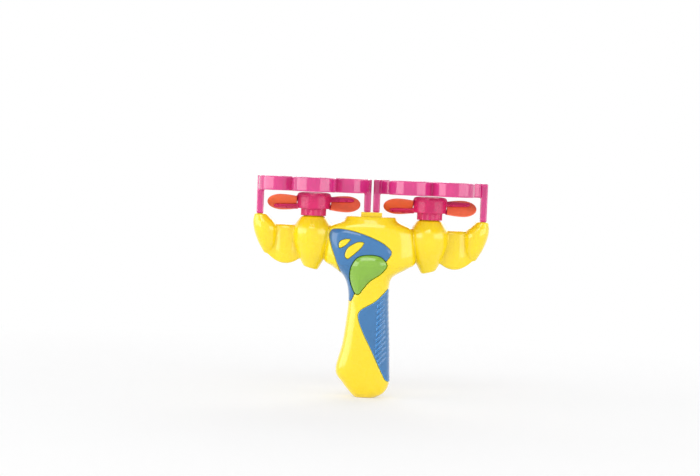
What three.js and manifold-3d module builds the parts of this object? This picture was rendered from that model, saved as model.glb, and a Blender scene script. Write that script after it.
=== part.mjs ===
// Battery-driven bubble blower with two fan heads, in millimetres, +Z up.
// The origin is the middle of the handle's flat foot and the front faces -Y.
import * as THREE from "three";
import { mergeVertices } from "three/addons/utils/BufferGeometryUtils.js";
import Module from "manifold-3d";

const wasm = await Module();
wasm.setup();

// Gaps and walls
const FIT = 0.3; // between pieces that seat on each other
const RUN = 0.8; // between turning and fixed pieces
const WALL = 2.4; // both shells
const FAR = 150; // reach of a cut that leaves the part
const FINENESS = 0.06; // surface detail smaller than this is merged

// Bubble rings, which set how far apart the heads are
const RING_RADIUS = 57; // over the loops
const RING_GAP = 2; // between the two rings
const RING_HEIGHT = 12;
const RING_CLEARANCE = 2; // above the hub
const LOOP_COUNT = 5;
const LOOP_WALL = 2;
const POST_RADIAL = 7;
const POST_WIDTH = 10;
const POST_TAPER = 0.8; // narrower at the foot than at the ring
const TENON_INSET = 1.7; // tenon within the post's foot
const TENON_DEPTH = 8;
const SOCKET_WALL = 1.6;
const HEAD_X = RING_RADIUS + RING_GAP / 2; // fan axis to the middle of the part
const POST_X = RING_RADIUS - POST_RADIAL / 2; // from the fan axis

// Handle and body, as stations up the part: reach to the left, right and front
const POD_RADIUS = 19.2;
const POD_LAP = 7.2; // how far the shoulders run into the pods
const SHOULDER = HEAD_X - POD_RADIUS + POD_LAP;
const BODY_STATIONS = [
  { z: 0, left: 10, right: 10, depth: 9 },
  { z: 5, left: 15, right: 19, depth: 13.5 },
  { z: 14, left: 22.5, right: 24, depth: 16.5 },
  { z: 27, left: 30, right: 23.8, depth: 18 },
  { z: 55, left: 24, right: 22.5, depth: 18 },
  { z: 92, left: 20, right: 20.3, depth: 18 },
  { z: 109, left: 20.5, right: 20.3, depth: 18.6 },
  { z: 121, left: 25.5, right: 23.5, depth: 20 },
  { z: 130, left: SHOULDER - 8.5, right: SHOULDER - 8, depth: 21.6 },
  { z: 137, left: SHOULDER, right: SHOULDER, depth: 22.4 },
  { z: 160, left: SHOULDER, right: SHOULDER, depth: 22 },
  { z: 170, left: SHOULDER - 4, right: SHOULDER - 5, depth: 20.5 },
  { z: 176.5, left: 28, right: 27.5, depth: 17.5 },
  { z: 181, left: 25.2, right: 24.4, depth: 15 },
];
const BODY_TOP = BODY_STATIONS[BODY_STATIONS.length - 1].z;
const BODY_STEPS = 2; // sections from one station to the next
const BODY_SIDES = 28;
const BODY_POWER = 3; // 2 is an ellipse, more is squarer

// Heads, each a pod under the fan, a web and an outer lobe
const POD_TOP = BODY_TOP - 2;
const POD_HEIGHT = 52;
const POD_BRIM = 16; // from the top down to the widest place
const POD_TOP_RADIUS = 12.3;
const POD_FOOT_RADIUS = 6.8;
const POD_FOOT_SLANT = 14; // degrees, up towards the outside
const LOBE_TOP = BODY_TOP - 1;
const LOBE_DEPTH = 11.6; // half
// The outer lobe leans: stations down from its top, its middle inward of the post, and its reach
const LOBE_STATIONS = [
  { drop: 39.5, inward: 8.5, wide: 2.7, deep: 2.8 },
  { drop: 34, inward: 9, wide: 6.6, deep: 6.8 },
  { drop: 29, inward: 8.4, wide: 8.9, deep: 9 },
  { drop: 20, inward: 7, wide: 11.3, deep: 11 },
  { drop: 13.5, inward: 6.2, wide: 12.2, deep: LOBE_DEPTH },
  { drop: 8, inward: 4.2, wide: 10.8, deep: 10.6 },
  { drop: 4.5, inward: 2.4, wide: 8.6, deep: 9 },
  { drop: 0, inward: 0.3, wide: 5.8, deep: 7.2 },
];
const LOBE_X = HEAD_X + POST_X - 6.5; // where the web ends and the screw goes
const WEB_DROP = 9; // below the top of the pod
const WEB_HEIGHT = 39; // down to the lowest place of its lower edge
const WEB_SAG = 60; // how fast the lower edge rises to both sides of it
const WEB_DEPTH = 6.2; // half, at its fullest
const WEB_BULGE = 55; // how fast the depth falls off to both sides
const WEB_LEAST = 3.6; // half, inside the pod and the lobe
const WEB_MIDDLE = 0.56; // share of the way from pod to lobe
const PLATFORM_RISE = 4.5;
const PLATFORM_MARGIN = 2.5; // beside the two posts that stand on it
const PLATFORM_DEPTH = 17;

// Fans
const HUB_RADIUS = 16.5;
const HUB_HEIGHT = 12.8; // from its skirt to where its domed top begins
const HUB_DOME = 4.5;
const HUB_WALL = 2;
const SKIRT_HEIGHT = 6.9;
const SKIRT_INSET = 3.5;
const BLADE_CLEARANCE = 3.5; // from its tip to the posts
const BLADE_RISE = 5.6; // of the blade's middle above the foot of the hub
const BLADE_CHORD = 24;
const BLADE_PITCH = 40; // degrees from level
const BLADE_THICKNESS = 2.4;
const BLADE_WIDEST = 0.6; // share of its length from the root
const BLADE_ROOT_SHARE = 0.68; // of the chord
const ARM_SHORT = 6.5; // from the tip of a prong to the tip of the blade
const ARM_WIDTH = 7;
const ARM_THICKNESS = 1.8;
const ARM_OFFSET = 3.5; // of the upper and lower prong along the chord

// Motors
const MOTOR_RADIUS = 10;
const MOTOR_FLAT = 7.5; // half the width across the flats
const CAN_LENGTH = 20.5;
const CAP_LENGTH = 4.5;
const BUSH_RADIUS = 3;
const BUSH_HEIGHT = 1.5;
const SHAFT_RADIUS = 1;
const SHAFT_IN_CAN = 6;
const CRADLE_PLATE = 2;
const CRADLE_DROP = 13; // from the motor's top to the upper cradle plate

// Cells and their bay
const CELL_RADIUS = 7.1;
const CELL_LENGTH = 50.2;
const NUB_RADIUS = 2.7;
const NUB_HEIGHT = 1;
const CELL_GAP = 0.6; // between the two columns
const BAY_BOTTOM = 20;
const TUB_WALL = 1.6;
const PLATE = 0.5;
const PLATE_DROP = 5; // plate's edge in front of the cells' axes
const TAB_WIDTH = 4;
const TAB_RISE = 5;
const COIL_HEIGHT = 4;
const COIL_RADIUS = 4;
const COIL_WIRE = 0.5; // radius
const COIL_TURNS = 2;

// Battery door
const DOOR_SEAT = 11.5; // how far behind the parting plane the door sits
const DOOR_WIDTH = 32;
const DOOR_BELOW = 2.5; // how far the door goes below the cells' bay
const DOOR_ABOVE = 9.8; // and above it
const DOOR_WALL = 2.2;
const DOOR_RIM = 2;
const TONGUE_WIDTH = 12;
const TONGUE_DROP = 3;
const TONGUE_THICKNESS = 2;
const DOOR_HINGE = 17; // the door tips out about its outer lower edge, this far behind the parting plane
const DOOR_SCREW_DROP = 4.5; // from the door's top
const DOOR_SCREW_END = 7;
const DOOR_SCREW_PLAY = 0.6;
const DOOR_BLOCK_WIDTH = 12;
const DOOR_BLOCK_FRONT = 2;

// Inlays
const INLAY_DEPTH = 1; // below the case surface
const INLAY_PROUD = 0.5; // above it
const LEAF_PROUD = 0.7;
const PANEL_EDGE = -3; // how far round the side the panel goes
const GRIP_EDGE = 8.5;
const RIB_COUNT = 12;
const RIB_PITCH = 5.6;
const RIB_FIRST = 29;
const RIB_WIDTH = 2.2;
const RIB_PROUD = 1.3;
const RIB_START = 9;
const RIB_SLANT = 42; // degrees

// Button and switch
const BUTTON_PROUD = 2.6;
const BUTTON_WALL = 2;
const BUTTON_PLAY = 0.5;
const BUTTON_TRAVEL = 2.5;
const FLANGE_MARGIN = 1.5;
const FLANGE_THICKNESS = 1.2;
const FLANGE_EDGE = -11; // how far round the side the flange goes
const SWITCH_X = -7;
const SWITCH_Z = 122;
const SWITCH_WIDTH = 12;
const SWITCH_HEIGHT = 10;
const SWITCH_THICKNESS = 6;
const PLUNGER_RADIUS = 1.8;
const PLUNGER_LENGTH = BUTTON_TRAVEL + 0.6;
const STEM_RADIUS = 2.6;
const RETURN_RADIUS = 4.4;
const RETURN_WIRE = 0.4; // radius
const RETURN_TURNS = 4;

// Screws and wires
const SCREW_HEAD = 2.6; // radius
const SCREW_HEAD_HEIGHT = 1.8;
const SCREW_SHANK = 1.25; // radius
const SCREW_LENGTH = 14;
const SCREW_WELL = 4; // how far the head sits below the surface
const BOSS_WALL = 2; // at the corners of the six-sided bosses
const WIRE_RADIUS = 0.7;
const WIREWAY_DEPTH = 14; // of the way from body to pod
const WIREWAY_HEIGHT = 7;

// Worked out from the sizes above
const CELL_X = CELL_RADIUS + CELL_GAP / 2;
const CELL_Y = DOOR_SEAT - FIT - CELL_RADIUS;
const GROOVE = CELL_RADIUS + FIT;
const PLATE_SLOT = PLATE + 2 * FIT;
const BAY_TOP = BAY_BOTTOM + 2 * PLATE_SLOT + COIL_HEIGHT + 2 * CELL_LENGTH + 2 * FIT;
const TUB_HALF = CELL_X + GROOVE + TUB_WALL;
const TUB_FRONT = CELL_Y - GROOVE - TUB_WALL;
const DOOR_BOTTOM = BAY_BOTTOM - DOOR_BELOW;
const DOOR_TOP = BAY_TOP + DOOR_ABOVE;
const DOOR_SCREW_Z = DOOR_TOP - DOOR_SCREW_DROP;
const POD_WAIST = POD_TOP - POD_BRIM;
const POD_FOOT = POD_TOP - POD_HEIGHT;
const LOBE_FOOT = LOBE_TOP - LOBE_STATIONS[0].drop;
const WEB_TOP = POD_TOP - WEB_DROP;
const PLATFORM_TOP = BODY_TOP + PLATFORM_RISE;
const PLATFORM_HALF = HEAD_X - POST_X + POST_RADIAL / 2 + PLATFORM_MARGIN;
const MOTOR_TOP = POD_TOP - WALL - FIT;
const CAN_BOTTOM = MOTOR_TOP - CAN_LENGTH;
const MOTOR_BOTTOM = CAN_BOTTOM - FIT - CAP_LENGTH;
const SKIRT_RADIUS = HUB_RADIUS - SKIRT_INSET;
const HUB_BASE = POD_TOP + RUN + SKIRT_HEIGHT;
const HUB_RIM = HUB_BASE + HUB_HEIGHT;
const HUB_TOP = HUB_RIM + HUB_DOME;
const BLADE_HEIGHT = HUB_BASE + BLADE_RISE;
const BLADE_TIP = POST_X - POST_RADIAL / 2 - BLADE_CLEARANCE;
const ARM_REACH = BLADE_TIP - ARM_SHORT;
const RING_BOTTOM = HUB_TOP + RING_CLEARANCE;
const RING_TOP = RING_BOTTOM + RING_HEIGHT;
const LOOP_SHARE = Math.sin(Math.PI / LOOP_COUNT);
const LOOP_CENTRE = (RING_RADIUS - LOOP_WALL / 2) / (1 + LOOP_SHARE);
const LOOP_RADIUS = LOOP_CENTRE * LOOP_SHARE; // to the middle of its wall
const SWITCH_BACK = TUB_FRONT - FIT;
const SWITCH_FRONT = SWITCH_BACK - SWITCH_THICKNESS;
const PLUNGER_END = SWITCH_FRONT - PLUNGER_LENGTH;

const YELLOW = { color: 0xf5c816, roughness: 0.32, metalness: 0 };
const PINK = { color: 0xe23f7d, roughness: 0.25, metalness: 0 };
const ORANGE = { color: 0xf0702c, roughness: 0.5, metalness: 0 };
const BLUE = { color: 0x3d7cc0, roughness: 0.4, metalness: 0 };
const GREEN = { color: 0x86c440, roughness: 0.3, metalness: 0 };
const STEEL = { color: 0xb4b8bc, roughness: 0.35, metalness: 0.9 };
const NYLON = { color: 0xe8e4d8, roughness: 0.5, metalness: 0 };
const DARK = { color: 0x2a2b2e, roughness: 0.5, metalness: 0 };
const SLEEVE = { color: 0x5b6670, roughness: 0.4, metalness: 0.3 };
const RED = { color: 0xb8262a, roughness: 0.55, metalness: 0 };

const blower = new THREE.Group();

// A closed solid from a geometry, without the needless triangles at a lathe's axis
function solidOf(geometry) {
  const bare = geometry.clone();
  bare.deleteAttribute("normal");
  bare.deleteAttribute("uv");
  const welded = mergeVertices(bare, 1e-4);
  const corners = [];
  for (let i = 0; i < welded.index.count; i += 3) {
    const [a, b, c] = [0, 1, 2].map((k) => welded.index.getX(i + k));
    if (a !== b && b !== c && c !== a) {
      corners.push(a, b, c);
    }
  }
  const vertProperties = new Float32Array(welded.attributes.position.array);
  const triVerts = new Uint32Array(corners);
  return new wasm.Manifold(new wasm.Mesh({ numProp: 3, vertProperties, triVerts }));
}

// A named node from a solid, in its own material
function addNode(name, solid, look) {
  const mesh = solid.simplify(FINENESS).getMesh();
  const geometry = new THREE.BufferGeometry();
  geometry.setAttribute("position", new THREE.BufferAttribute(mesh.vertProperties, 3));
  geometry.setIndex(new THREE.BufferAttribute(mesh.triVerts, 1));
  geometry.computeVertexNormals();
  const node = new THREE.Mesh(geometry, new THREE.MeshStandardMaterial(look));
  node.name = name;
  blower.add(node);
}

function boxOf(x0, x1, y0, y1, z0, z1) {
  const box = new THREE.BoxGeometry(x1 - x0, y1 - y0, z1 - z0);
  box.translate((x0 + x1) / 2, (y0 + y1) / 2, (z0 + z1) / 2);
  return solidOf(box);
}

// A round bar that runs from front to back
function barOf(x, z, radius, y0, y1, sides) {
  const bar = new THREE.CylinderGeometry(radius, radius, y1 - y0, sides);
  bar.translate(x, (y0 + y1) / 2, z);
  return solidOf(bar);
}

// A round bar that stands upright
function columnOf(x, y, radius, z0, z1, sides) {
  const column = new THREE.CylinderGeometry(radius, radius, z1 - z0, sides);
  column.rotateX(Math.PI / 2);
  column.translate(x, y, (z0 + z1) / 2);
  return solidOf(column);
}

// A turned piece about an upright axis, from a profile of radius and height
function turned(profile, x, sides) {
  const lathe = new THREE.LatheGeometry(profile, sides);
  lathe.rotateX(Math.PI / 2);
  lathe.translate(x, 0, 0);
  return solidOf(lathe);
}

// An outline seen from the front, given in X and Z, carried from y0 back to y1
function plankOf(outline, y0, y1) {
  const plank = new THREE.ExtrudeGeometry(new THREE.Shape(outline), { depth: y1 - y0, bevelEnabled: false });
  plank.rotateX(Math.PI / 2);
  plank.translate(0, y1, 0);
  return solidOf(plank);
}

// An outline seen from above, given in X and Y, raised from z0 to z1
function slabOf(shape, z0, z1, segments) {
  const options = { depth: z1 - z0, bevelEnabled: false, curveSegments: segments };
  const slab = new THREE.ExtrudeGeometry(shape, options);
  slab.translate(0, 0, z0);
  return solidOf(slab);
}

// A skin over rings of points, with both ends closed
function lofted(rings) {
  const count = rings[0].length;
  const points = rings.flat();
  const corners = [];
  for (let i = 0; i + 1 < rings.length; i++) {
    for (let j = 0; j < count; j++) {
      const a = i * count + j;
      const b = i * count + ((j + 1) % count);
      corners.push(a, b, b + count, a, b + count, a + count);
    }
  }
  const ends = [rings[0], rings[rings.length - 1]];
  ends.forEach((ring, end) => {
    const middle = ring.reduce((sum, p) => sum.add(p), new THREE.Vector3()).divideScalar(count);
    const hub = points.push(middle) - 1;
    const base = end * (rings.length - 1) * count;
    for (let j = 0; j < count; j++) {
      const a = base + j;
      const b = base + ((j + 1) % count);
      corners.push(...(end === 0 ? [hub, b, a] : [hub, a, b]));
    }
  });
  const geometry = new THREE.BufferGeometry().setFromPoints(points);
  geometry.setIndex(corners);
  return solidOf(geometry);
}

// Points of a squared ellipse, from +cos to +sin
function squaredEllipse(sides, power) {
  return Array.from({ length: sides }, (unused, i) => {
    const turn = (2 * Math.PI * i) / sides;
    const [c, s] = [Math.cos(turn), Math.sin(turn)];
    const bend = 2 / power;
    return [Math.sign(c) * Math.abs(c) ** bend, Math.sign(s) * Math.abs(s) ** bend];
  });
}

// A smooth closed outline through a few places, counter-clockwise
function smoothOutline(places, steps) {
  const through = places.map(([x, z]) => new THREE.Vector3(x, z, 0));
  const curve = new THREE.CatmullRomCurve3(through, true, "centripetal");
  const points = curve.getPoints(steps).slice(0, -1);
  return points.map((p) => new THREE.Vector2(p.x, p.y));
}

// The same outline with a margin all round
function grown(outline, margin) {
  const count = outline.length;
  return outline.map((p, i) => {
    const way = outline[(i + 1) % count].clone().sub(outline[(i + count - 1) % count]).normalize();
    return new THREE.Vector2(p.x + way.y * margin, p.y - way.x * margin);
  });
}

// A round wire along a smooth way through places
function wireOf(places, radius, steps, sides) {
  const way = new THREE.CatmullRomCurve3(places.map((p) => new THREE.Vector3(...p)));
  return tubeOf(way, radius, steps, sides);
}

function tubeOf(way, radius, steps, sides) {
  const section = Array.from({ length: sides }, (unused, i) => {
    const turn = (2 * Math.PI * i) / sides;
    return new THREE.Vector2(radius * Math.cos(turn), radius * Math.sin(turn));
  });
  const options = { steps, extrudePath: way, bevelEnabled: false };
  return solidOf(new THREE.ExtrudeGeometry(new THREE.Shape(section), options));
}

// A helix up the given height, as a curve
class Coil extends THREE.Curve {
  constructor(radius, height, turns) {
    super();
    Object.assign(this, { radius, height, turns });
  }

  getPoint(share, target = new THREE.Vector3()) {
    const turn = 2 * Math.PI * this.turns * share;
    return target.set(this.radius * Math.cos(turn), this.radius * Math.sin(turn), this.height * share);
  }
}

// An unbroken coil standing on z = 0, whose least gap to itself is printed
function coilOf(name, radius, wire, height, turns) {
  const coil = new Coil(radius, height - 2 * wire, turns);
  const steps = 8 * turns;
  const points = coil.getPoints(steps);
  let gap = Infinity;
  points.forEach((p, i) => {
    points.slice(i + 5).forEach((q) => {
      gap = Math.min(gap, p.distanceTo(q) - 2 * wire);
    });
  });
  console.log(`${name}: least gap between curls ${gap.toFixed(2)} mm`);
  return tubeOf(coil, wire, steps, 5).translate(0, 0, wire);
}

// Rows between the given ones, each of their values on a smooth curve
function smoothRows(rows, steps) {
  const last = rows.length - 1;
  const made = [];
  for (let i = 0; i < last * steps; i++) {
    const at = Math.floor(i / steps);
    const share = (i % steps) / steps;
    const near = [at - 1, at, at + 1, at + 2].map((k) => rows[THREE.MathUtils.clamp(k, 0, last)]);
    const values = Object.keys(rows[0]).map((key) => [key, between(near.map((row) => row[key]), share)]);
    made.push(Object.fromEntries(values));
  }
  return [...made, rows[last]];
}

// Body sections between the stations, drawn in by an inset
function bodySections(inset, steps) {
  return smoothRows(BODY_STATIONS, steps).map((s) => ({
    z: THREE.MathUtils.clamp(s.z, inset, BODY_TOP - inset),
    left: s.left - inset,
    right: s.right - inset,
    depth: s.depth - inset,
  }));
}

// Smooth value from b to c, with a and d as the places before and after
function between([a, b, c, d], share) {
  const rise = (c - a) / 2;
  const fall = (d - b) / 2;
  const square = share * share;
  const cube = square * share;
  return (2 * cube - 3 * square + 1) * b + (cube - 2 * square + share) * rise
    + (3 * square - 2 * cube) * c + (cube - square) * fall;
}

// The handle and body as one solid, drawn in by an inset
function bodyOf(inset, sides = BODY_SIDES, steps = BODY_STEPS) {
  const unit = squaredEllipse(sides, BODY_POWER);
  const rings = bodySections(inset, steps).map((s) => unit.map(([c, t]) => {
    return new THREE.Vector3(c * (c < 0 ? s.left : s.right), t * s.depth, s.z);
  }));
  return lofted(rings);
}

// The same with the plainer facets of the hidden inner surfaces
function roomOf(inset) {
  return bodyOf(inset, 16, 1);
}

// The acorn-shaped pod, with its foot cut on a slant
function podOf(side, inset, sides) {
  const [top, foot] = [POD_TOP - inset, POD_FOOT + inset];
  const [wide, narrow] = [POD_RADIUS - inset, POD_FOOT_RADIUS - inset];
  const brim = POD_TOP_RADIUS - inset / 2;
  const profile = new THREE.Path();
  profile.moveTo(0, foot - 2);
  profile.lineTo(narrow - 1, foot - 2);
  profile.lineTo(narrow, foot);
  profile.bezierCurveTo(narrow + 5.4, foot + 9.5, wide, foot + 22, wide, POD_WAIST);
  profile.bezierCurveTo(wide, POD_WAIST + 6.5, brim + 2.9, top - 4.5, brim, top);
  profile.lineTo(0, top);
  const below = boxOf(-FAR, FAR, -FAR, FAR, -FAR, 0).rotate(0, -side * POD_FOOT_SLANT, 0);
  const pod = turned(profile.getPoints(Math.floor(sides / 4)), side * HEAD_X, sides);
  return pod.subtract(below.translate(side * HEAD_X, 0, foot));
}

function lobeOf(side, inset, sides) {
  const unit = squaredEllipse(sides, 2);
  const rings = smoothRows(LOBE_STATIONS, 2).map((s) => {
    const x = side * (HEAD_X + POST_X - s.inward);
    const z = THREE.MathUtils.clamp(LOBE_TOP - s.drop, LOBE_FOOT + inset, LOBE_TOP - inset);
    return unit.map(([c, t]) => new THREE.Vector3(x + c * (s.wide - inset), t * (s.deep - inset), z));
  });
  return lofted(rings);
}

// The bulging web from pod to lobe, with its sagging lower edge
function webOf(side, inset) {
  const span = LOBE_X - HEAD_X;
  const unit = squaredEllipse(12, 4);
  const rings = [0, 0.3, 0.43, 0.56, 0.69, 0.82, 1].map((share) => {
    const away = (share - WEB_MIDDLE) ** 2;
    const low = WEB_TOP - WEB_HEIGHT + WEB_SAG * away + inset;
    const high = WEB_TOP - inset;
    const [middle, half] = [(low + high) / 2, (high - low) / 2];
    const depth = Math.max(WEB_DEPTH - WEB_BULGE * away, WEB_LEAST) - inset;
    const x = side * (HEAD_X + span * share);
    return unit.map(([c, t]) => new THREE.Vector3(x, side * c * depth, middle + t * half));
  });
  return lofted(rings);
}

// Everything inside the case surface, drawn in by an inset
function caseOf(body, inset, podSides, lobeSides) {
  let solid = body;
  for (const side of [-1, 1]) {
    solid = solid.add(podOf(side, inset, podSides));
    solid = solid.add(lobeOf(side, inset, lobeSides));
    solid = solid.add(webOf(side, inset));
  }
  return solid;
}

const caseOuter = caseOf(bodyOf(0), 0, 24, 16);
const caseInner = caseOf(roomOf(WALL), WALL, 15, 10);
const midWall = caseOf(roomOf(WALL / 2), WALL / 2, 15, 10); // where inner walls run to

// Outlines on the front, in X and Z
const PANEL_PLACES = [
  [21.2, 146.5], [14, 154], [1, 160.4], [-13, 165.1], [-28, 167.9], [-38.6, 167], [-41.2, 162],
  [-39.5, 153], [-35, 140.5], [-28.6, 124.7], [-24.1, 112.3], [-20.4, 96.5], [-17.6, 96.5],
  [-12, 108], [2, 124], [17, 138.5],
];
const BUTTON_PLACES = [
  [17, 133.4], [11.4, 141], [-0.6, 143.1], [-12, 140.4], [-17.6, 133], [-19.6, 121.6],
  [-17.4, 111.5], [-13.4, 104], [-9.4, 103], [-5, 109], [1, 117], [11.6, 125.2],
];
const GRIP_PLACES = [
  [19.1, 109.4], [9.2, 98.7], [1.4, 93.2], [-6.5, 88.3], [-9.5, 81.5],
  [-4.5, 67.1], [4.2, 50.3], [13.1, 32.2], [19.3, 20.3],
];
const LEAVES = [
  [
    [-30.7, 149.3], [-26.2, 151], [-22.1, 154.9], [-19.9, 157.9], [-25.7, 158], [-29.8, 156.1], [-31.4, 152.9],
  ],
  [
    [-22.3, 138.7], [-18.9, 141], [-13.1, 146.1], [-8, 151.8], [-6.7, 155.2], [-12, 155.6], [-17.7, 153],
    [-22.2, 149.6], [-24.5, 145.2], [-24.9, 141],
  ],
];

const panelOutline = smoothOutline(PANEL_PLACES, 48);
const buttonOutline = smoothOutline(BUTTON_PLACES, 36);
const leafOutlines = LEAVES.map((places) => smoothOutline(places, 18));
const gripOutline = gripEdge();

// The grip's left edge, closed well beyond the handle's right side
function gripEdge() {
  const first = GRIP_PLACES[0];
  const last = GRIP_PLACES[GRIP_PLACES.length - 1];
  const places = GRIP_PLACES.map(([x, z]) => new THREE.Vector2(x, z));
  const edge = new THREE.SplineCurve(places).getPoints(24);
  edge.unshift(new THREE.Vector2(first[0] + 40, first[1] + 5));
  edge.push(new THREE.Vector2(last[0] + 40, last[1] - 4));
  return edge;
}

// Where the case screws go: place, and depth of the seat under the head behind the parting plane
const SCREWS = [
  { name: "screw_lobe_left", x: -LOBE_X, z: LOBE_TOP - 22, seat: LOBE_DEPTH - SCREW_WELL - 1 },
  { name: "screw_lobe_right", x: LOBE_X, z: LOBE_TOP - 22, seat: LOBE_DEPTH - SCREW_WELL - 1 },
  { name: "screw_pod_left", x: -HEAD_X, z: POD_FOOT + 11, seat: POD_FOOT_RADIUS },
  { name: "screw_pod_right", x: HEAD_X, z: POD_FOOT + 11, seat: POD_FOOT_RADIUS },
  { name: "screw_shoulder_left", x: 15 - SHOULDER, z: BODY_TOP - 17, seat: 19 - SCREW_WELL },
  { name: "screw_shoulder_right", x: SHOULDER - 15, z: BODY_TOP - 17, seat: 19 - SCREW_WELL },
  { name: "screw_foot", x: 0, z: 10, seat: 15 - SCREW_WELL },
];

// A turned screw that points to -Y, with its head seated at y = seat
function screwOf(x, z, seat, length) {
  const profile = [
    [0, -length], [SCREW_SHANK, 1.5 - length], [SCREW_SHANK, FIT],
    [SCREW_HEAD, FIT], [SCREW_HEAD, SCREW_HEAD_HEIGHT - 0.5], [SCREW_HEAD - 0.6, SCREW_HEAD_HEIGHT],
    [0, SCREW_HEAD_HEIGHT],
  ];
  const lathe = new THREE.LatheGeometry(profile.map(([r, y]) => new THREE.Vector2(r, y)), 8);
  lathe.translate(x, seat, z);
  const slot = boxOf(x - 0.4, x + 0.4, seat + SCREW_HEAD_HEIGHT - 0.7, FAR, z - 1.6, z + 1.6);
  const cross = boxOf(x - 1.6, x + 1.6, seat + SCREW_HEAD_HEIGHT - 0.7, FAR, z - 0.4, z + 0.4);
  return solidOf(lathe).subtract(slot.add(cross));
}

// The tenon sockets: one in each lobe and two in the platform
function tenonBox(x, floor, margin) {
  const half = POST_RADIAL / 2 - TENON_INSET + margin;
  const wide = POST_WIDTH / 2 - TENON_INSET + margin;
  return boxOf(x - half, x + half, -wide, wide, floor - TENON_DEPTH - margin, floor + FAR);
}

function socketPlaces() {
  return [-1, 1].flatMap((side) => [
    { x: side * (HEAD_X + POST_X), floor: LOBE_TOP },
    { x: side * (HEAD_X - POST_X), floor: PLATFORM_TOP },
  ]);
}

// Plates across each pod that hold the motor: a floor, and a collar about the can
function cradleOf(side) {
  const keep = podOf(side, WALL / 2, 15);
  const [x, reach] = [side * HEAD_X, POD_RADIUS];
  const floor = MOTOR_BOTTOM - FIT;
  const collar = MOTOR_TOP - CRADLE_DROP;
  let plates = boxOf(x - reach, x + reach, -reach, reach, floor - CRADLE_PLATE, floor);
  plates = plates.add(boxOf(x - reach, x + reach, -reach, reach, collar - CRADLE_PLATE, collar));
  return plates.intersect(keep).subtract(canOf(side, FIT, CAN_BOTTOM - 1, MOTOR_TOP));
}

// The way for the leads from the body into a pod
function wirewayOf(side) {
  const [near, far] = [HEAD_X - POD_RADIUS, HEAD_X - MOTOR_RADIUS];
  const [x0, x1] = side > 0 ? [near, far] : [-far, -near];
  const half = WIREWAY_DEPTH / 2;
  return boxOf(x0, x1, -half, half, MOTOR_BOTTOM, MOTOR_BOTTOM + WIREWAY_HEIGHT);
}

// A flat-sided motor barrel
function canOf(side, margin, z0, z1) {
  const radius = MOTOR_RADIUS + margin;
  const flat = MOTOR_FLAT + margin;
  const turn = Math.asin(flat / radius);
  const shape = new THREE.Shape();
  shape.absarc(side * HEAD_X, 0, radius, -turn, turn, false);
  shape.absarc(side * HEAD_X, 0, radius, Math.PI - turn, Math.PI + turn, false);
  return slabOf(shape, z0, z1, 3);
}

// The tub that holds the cells, with the block that takes the door's screw
function tubOf(margin) {
  const half = TUB_HALF + margin;
  const [low, high] = [BAY_BOTTOM - TUB_WALL - margin, BAY_TOP + TUB_WALL + margin];
  const tub = boxOf(-half, half, TUB_FRONT - margin, FAR, low, high);
  const block = DOOR_BLOCK_WIDTH / 2 + margin;
  return tub.add(boxOf(-block, block, DOOR_BLOCK_FRONT - margin, FAR, BAY_TOP, DOOR_TOP));
}

// The space for cells and contacts, open to the back
function bayOf() {
  const [low, high] = [BAY_BOTTOM + PLATE_SLOT, BAY_TOP - PLATE_SLOT];
  const half = CELL_X + GROOVE;
  let bay = boxOf(-half, half, CELL_Y, FAR, low - 0.1, high + 0.1);
  for (const side of [-1, 1]) {
    bay = bay.add(columnOf(side * CELL_X, CELL_Y, GROOVE, low - 0.1, high + 0.1, 16));
  }
  const front = CELL_Y - PLATE_DROP - FIT;
  bay = bay.add(boxOf(-half, half, front, FAR, BAY_BOTTOM, low));
  bay = bay.add(boxOf(-half, half, front, FAR, high, BAY_TOP));
  for (const side of [-1, 1]) {
    bay = bay.add(contactTab(side, FIT, TAB_RISE));
  }
  return bay;
}

// The tab of an upper contact, which goes up through the tub's end wall
function contactTab(side, margin, rise) {
  const half = TAB_WIDTH / 2 + margin;
  const front = CELL_Y - PLATE_DROP;
  const low = BAY_TOP - FIT - PLATE;
  const x = side * CELL_X;
  return boxOf(x - half, x + half, front - margin, front + PLATE + margin, low, low + rise + margin);
}

function doorBox(margin) {
  const half = DOOR_WIDTH / 2 + margin;
  return boxOf(-half, half, DOOR_SEAT + FIT - margin, FAR, DOOR_BOTTOM - margin, DOOR_TOP + margin);
}

// The tongue at the door's lower edge, inside the rear wall
function tongueOf() {
  const half = TONGUE_WIDTH / 2;
  const front = DOOR_SEAT + FIT;
  return boxOf(-half, half, front, front + TONGUE_THICKNESS, DOOR_BOTTOM - TONGUE_DROP, DOOR_BOTTOM + 1);
}

// The room behind the rear wall that the tongue swings through as the door tips out
function tongueRoom() {
  const half = TONGUE_WIDTH / 2 + FIT;
  const front = DOOR_SEAT + FIT;
  const swing = Math.hypot(DOOR_HINGE - front, TONGUE_DROP) + FIT;
  const back = front + TONGUE_THICKNESS + FIT;
  return boxOf(-half, half, DOOR_HINGE - swing, back, DOOR_BOTTOM - TONGUE_DROP - FIT, BAY_BOTTOM);
}

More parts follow.
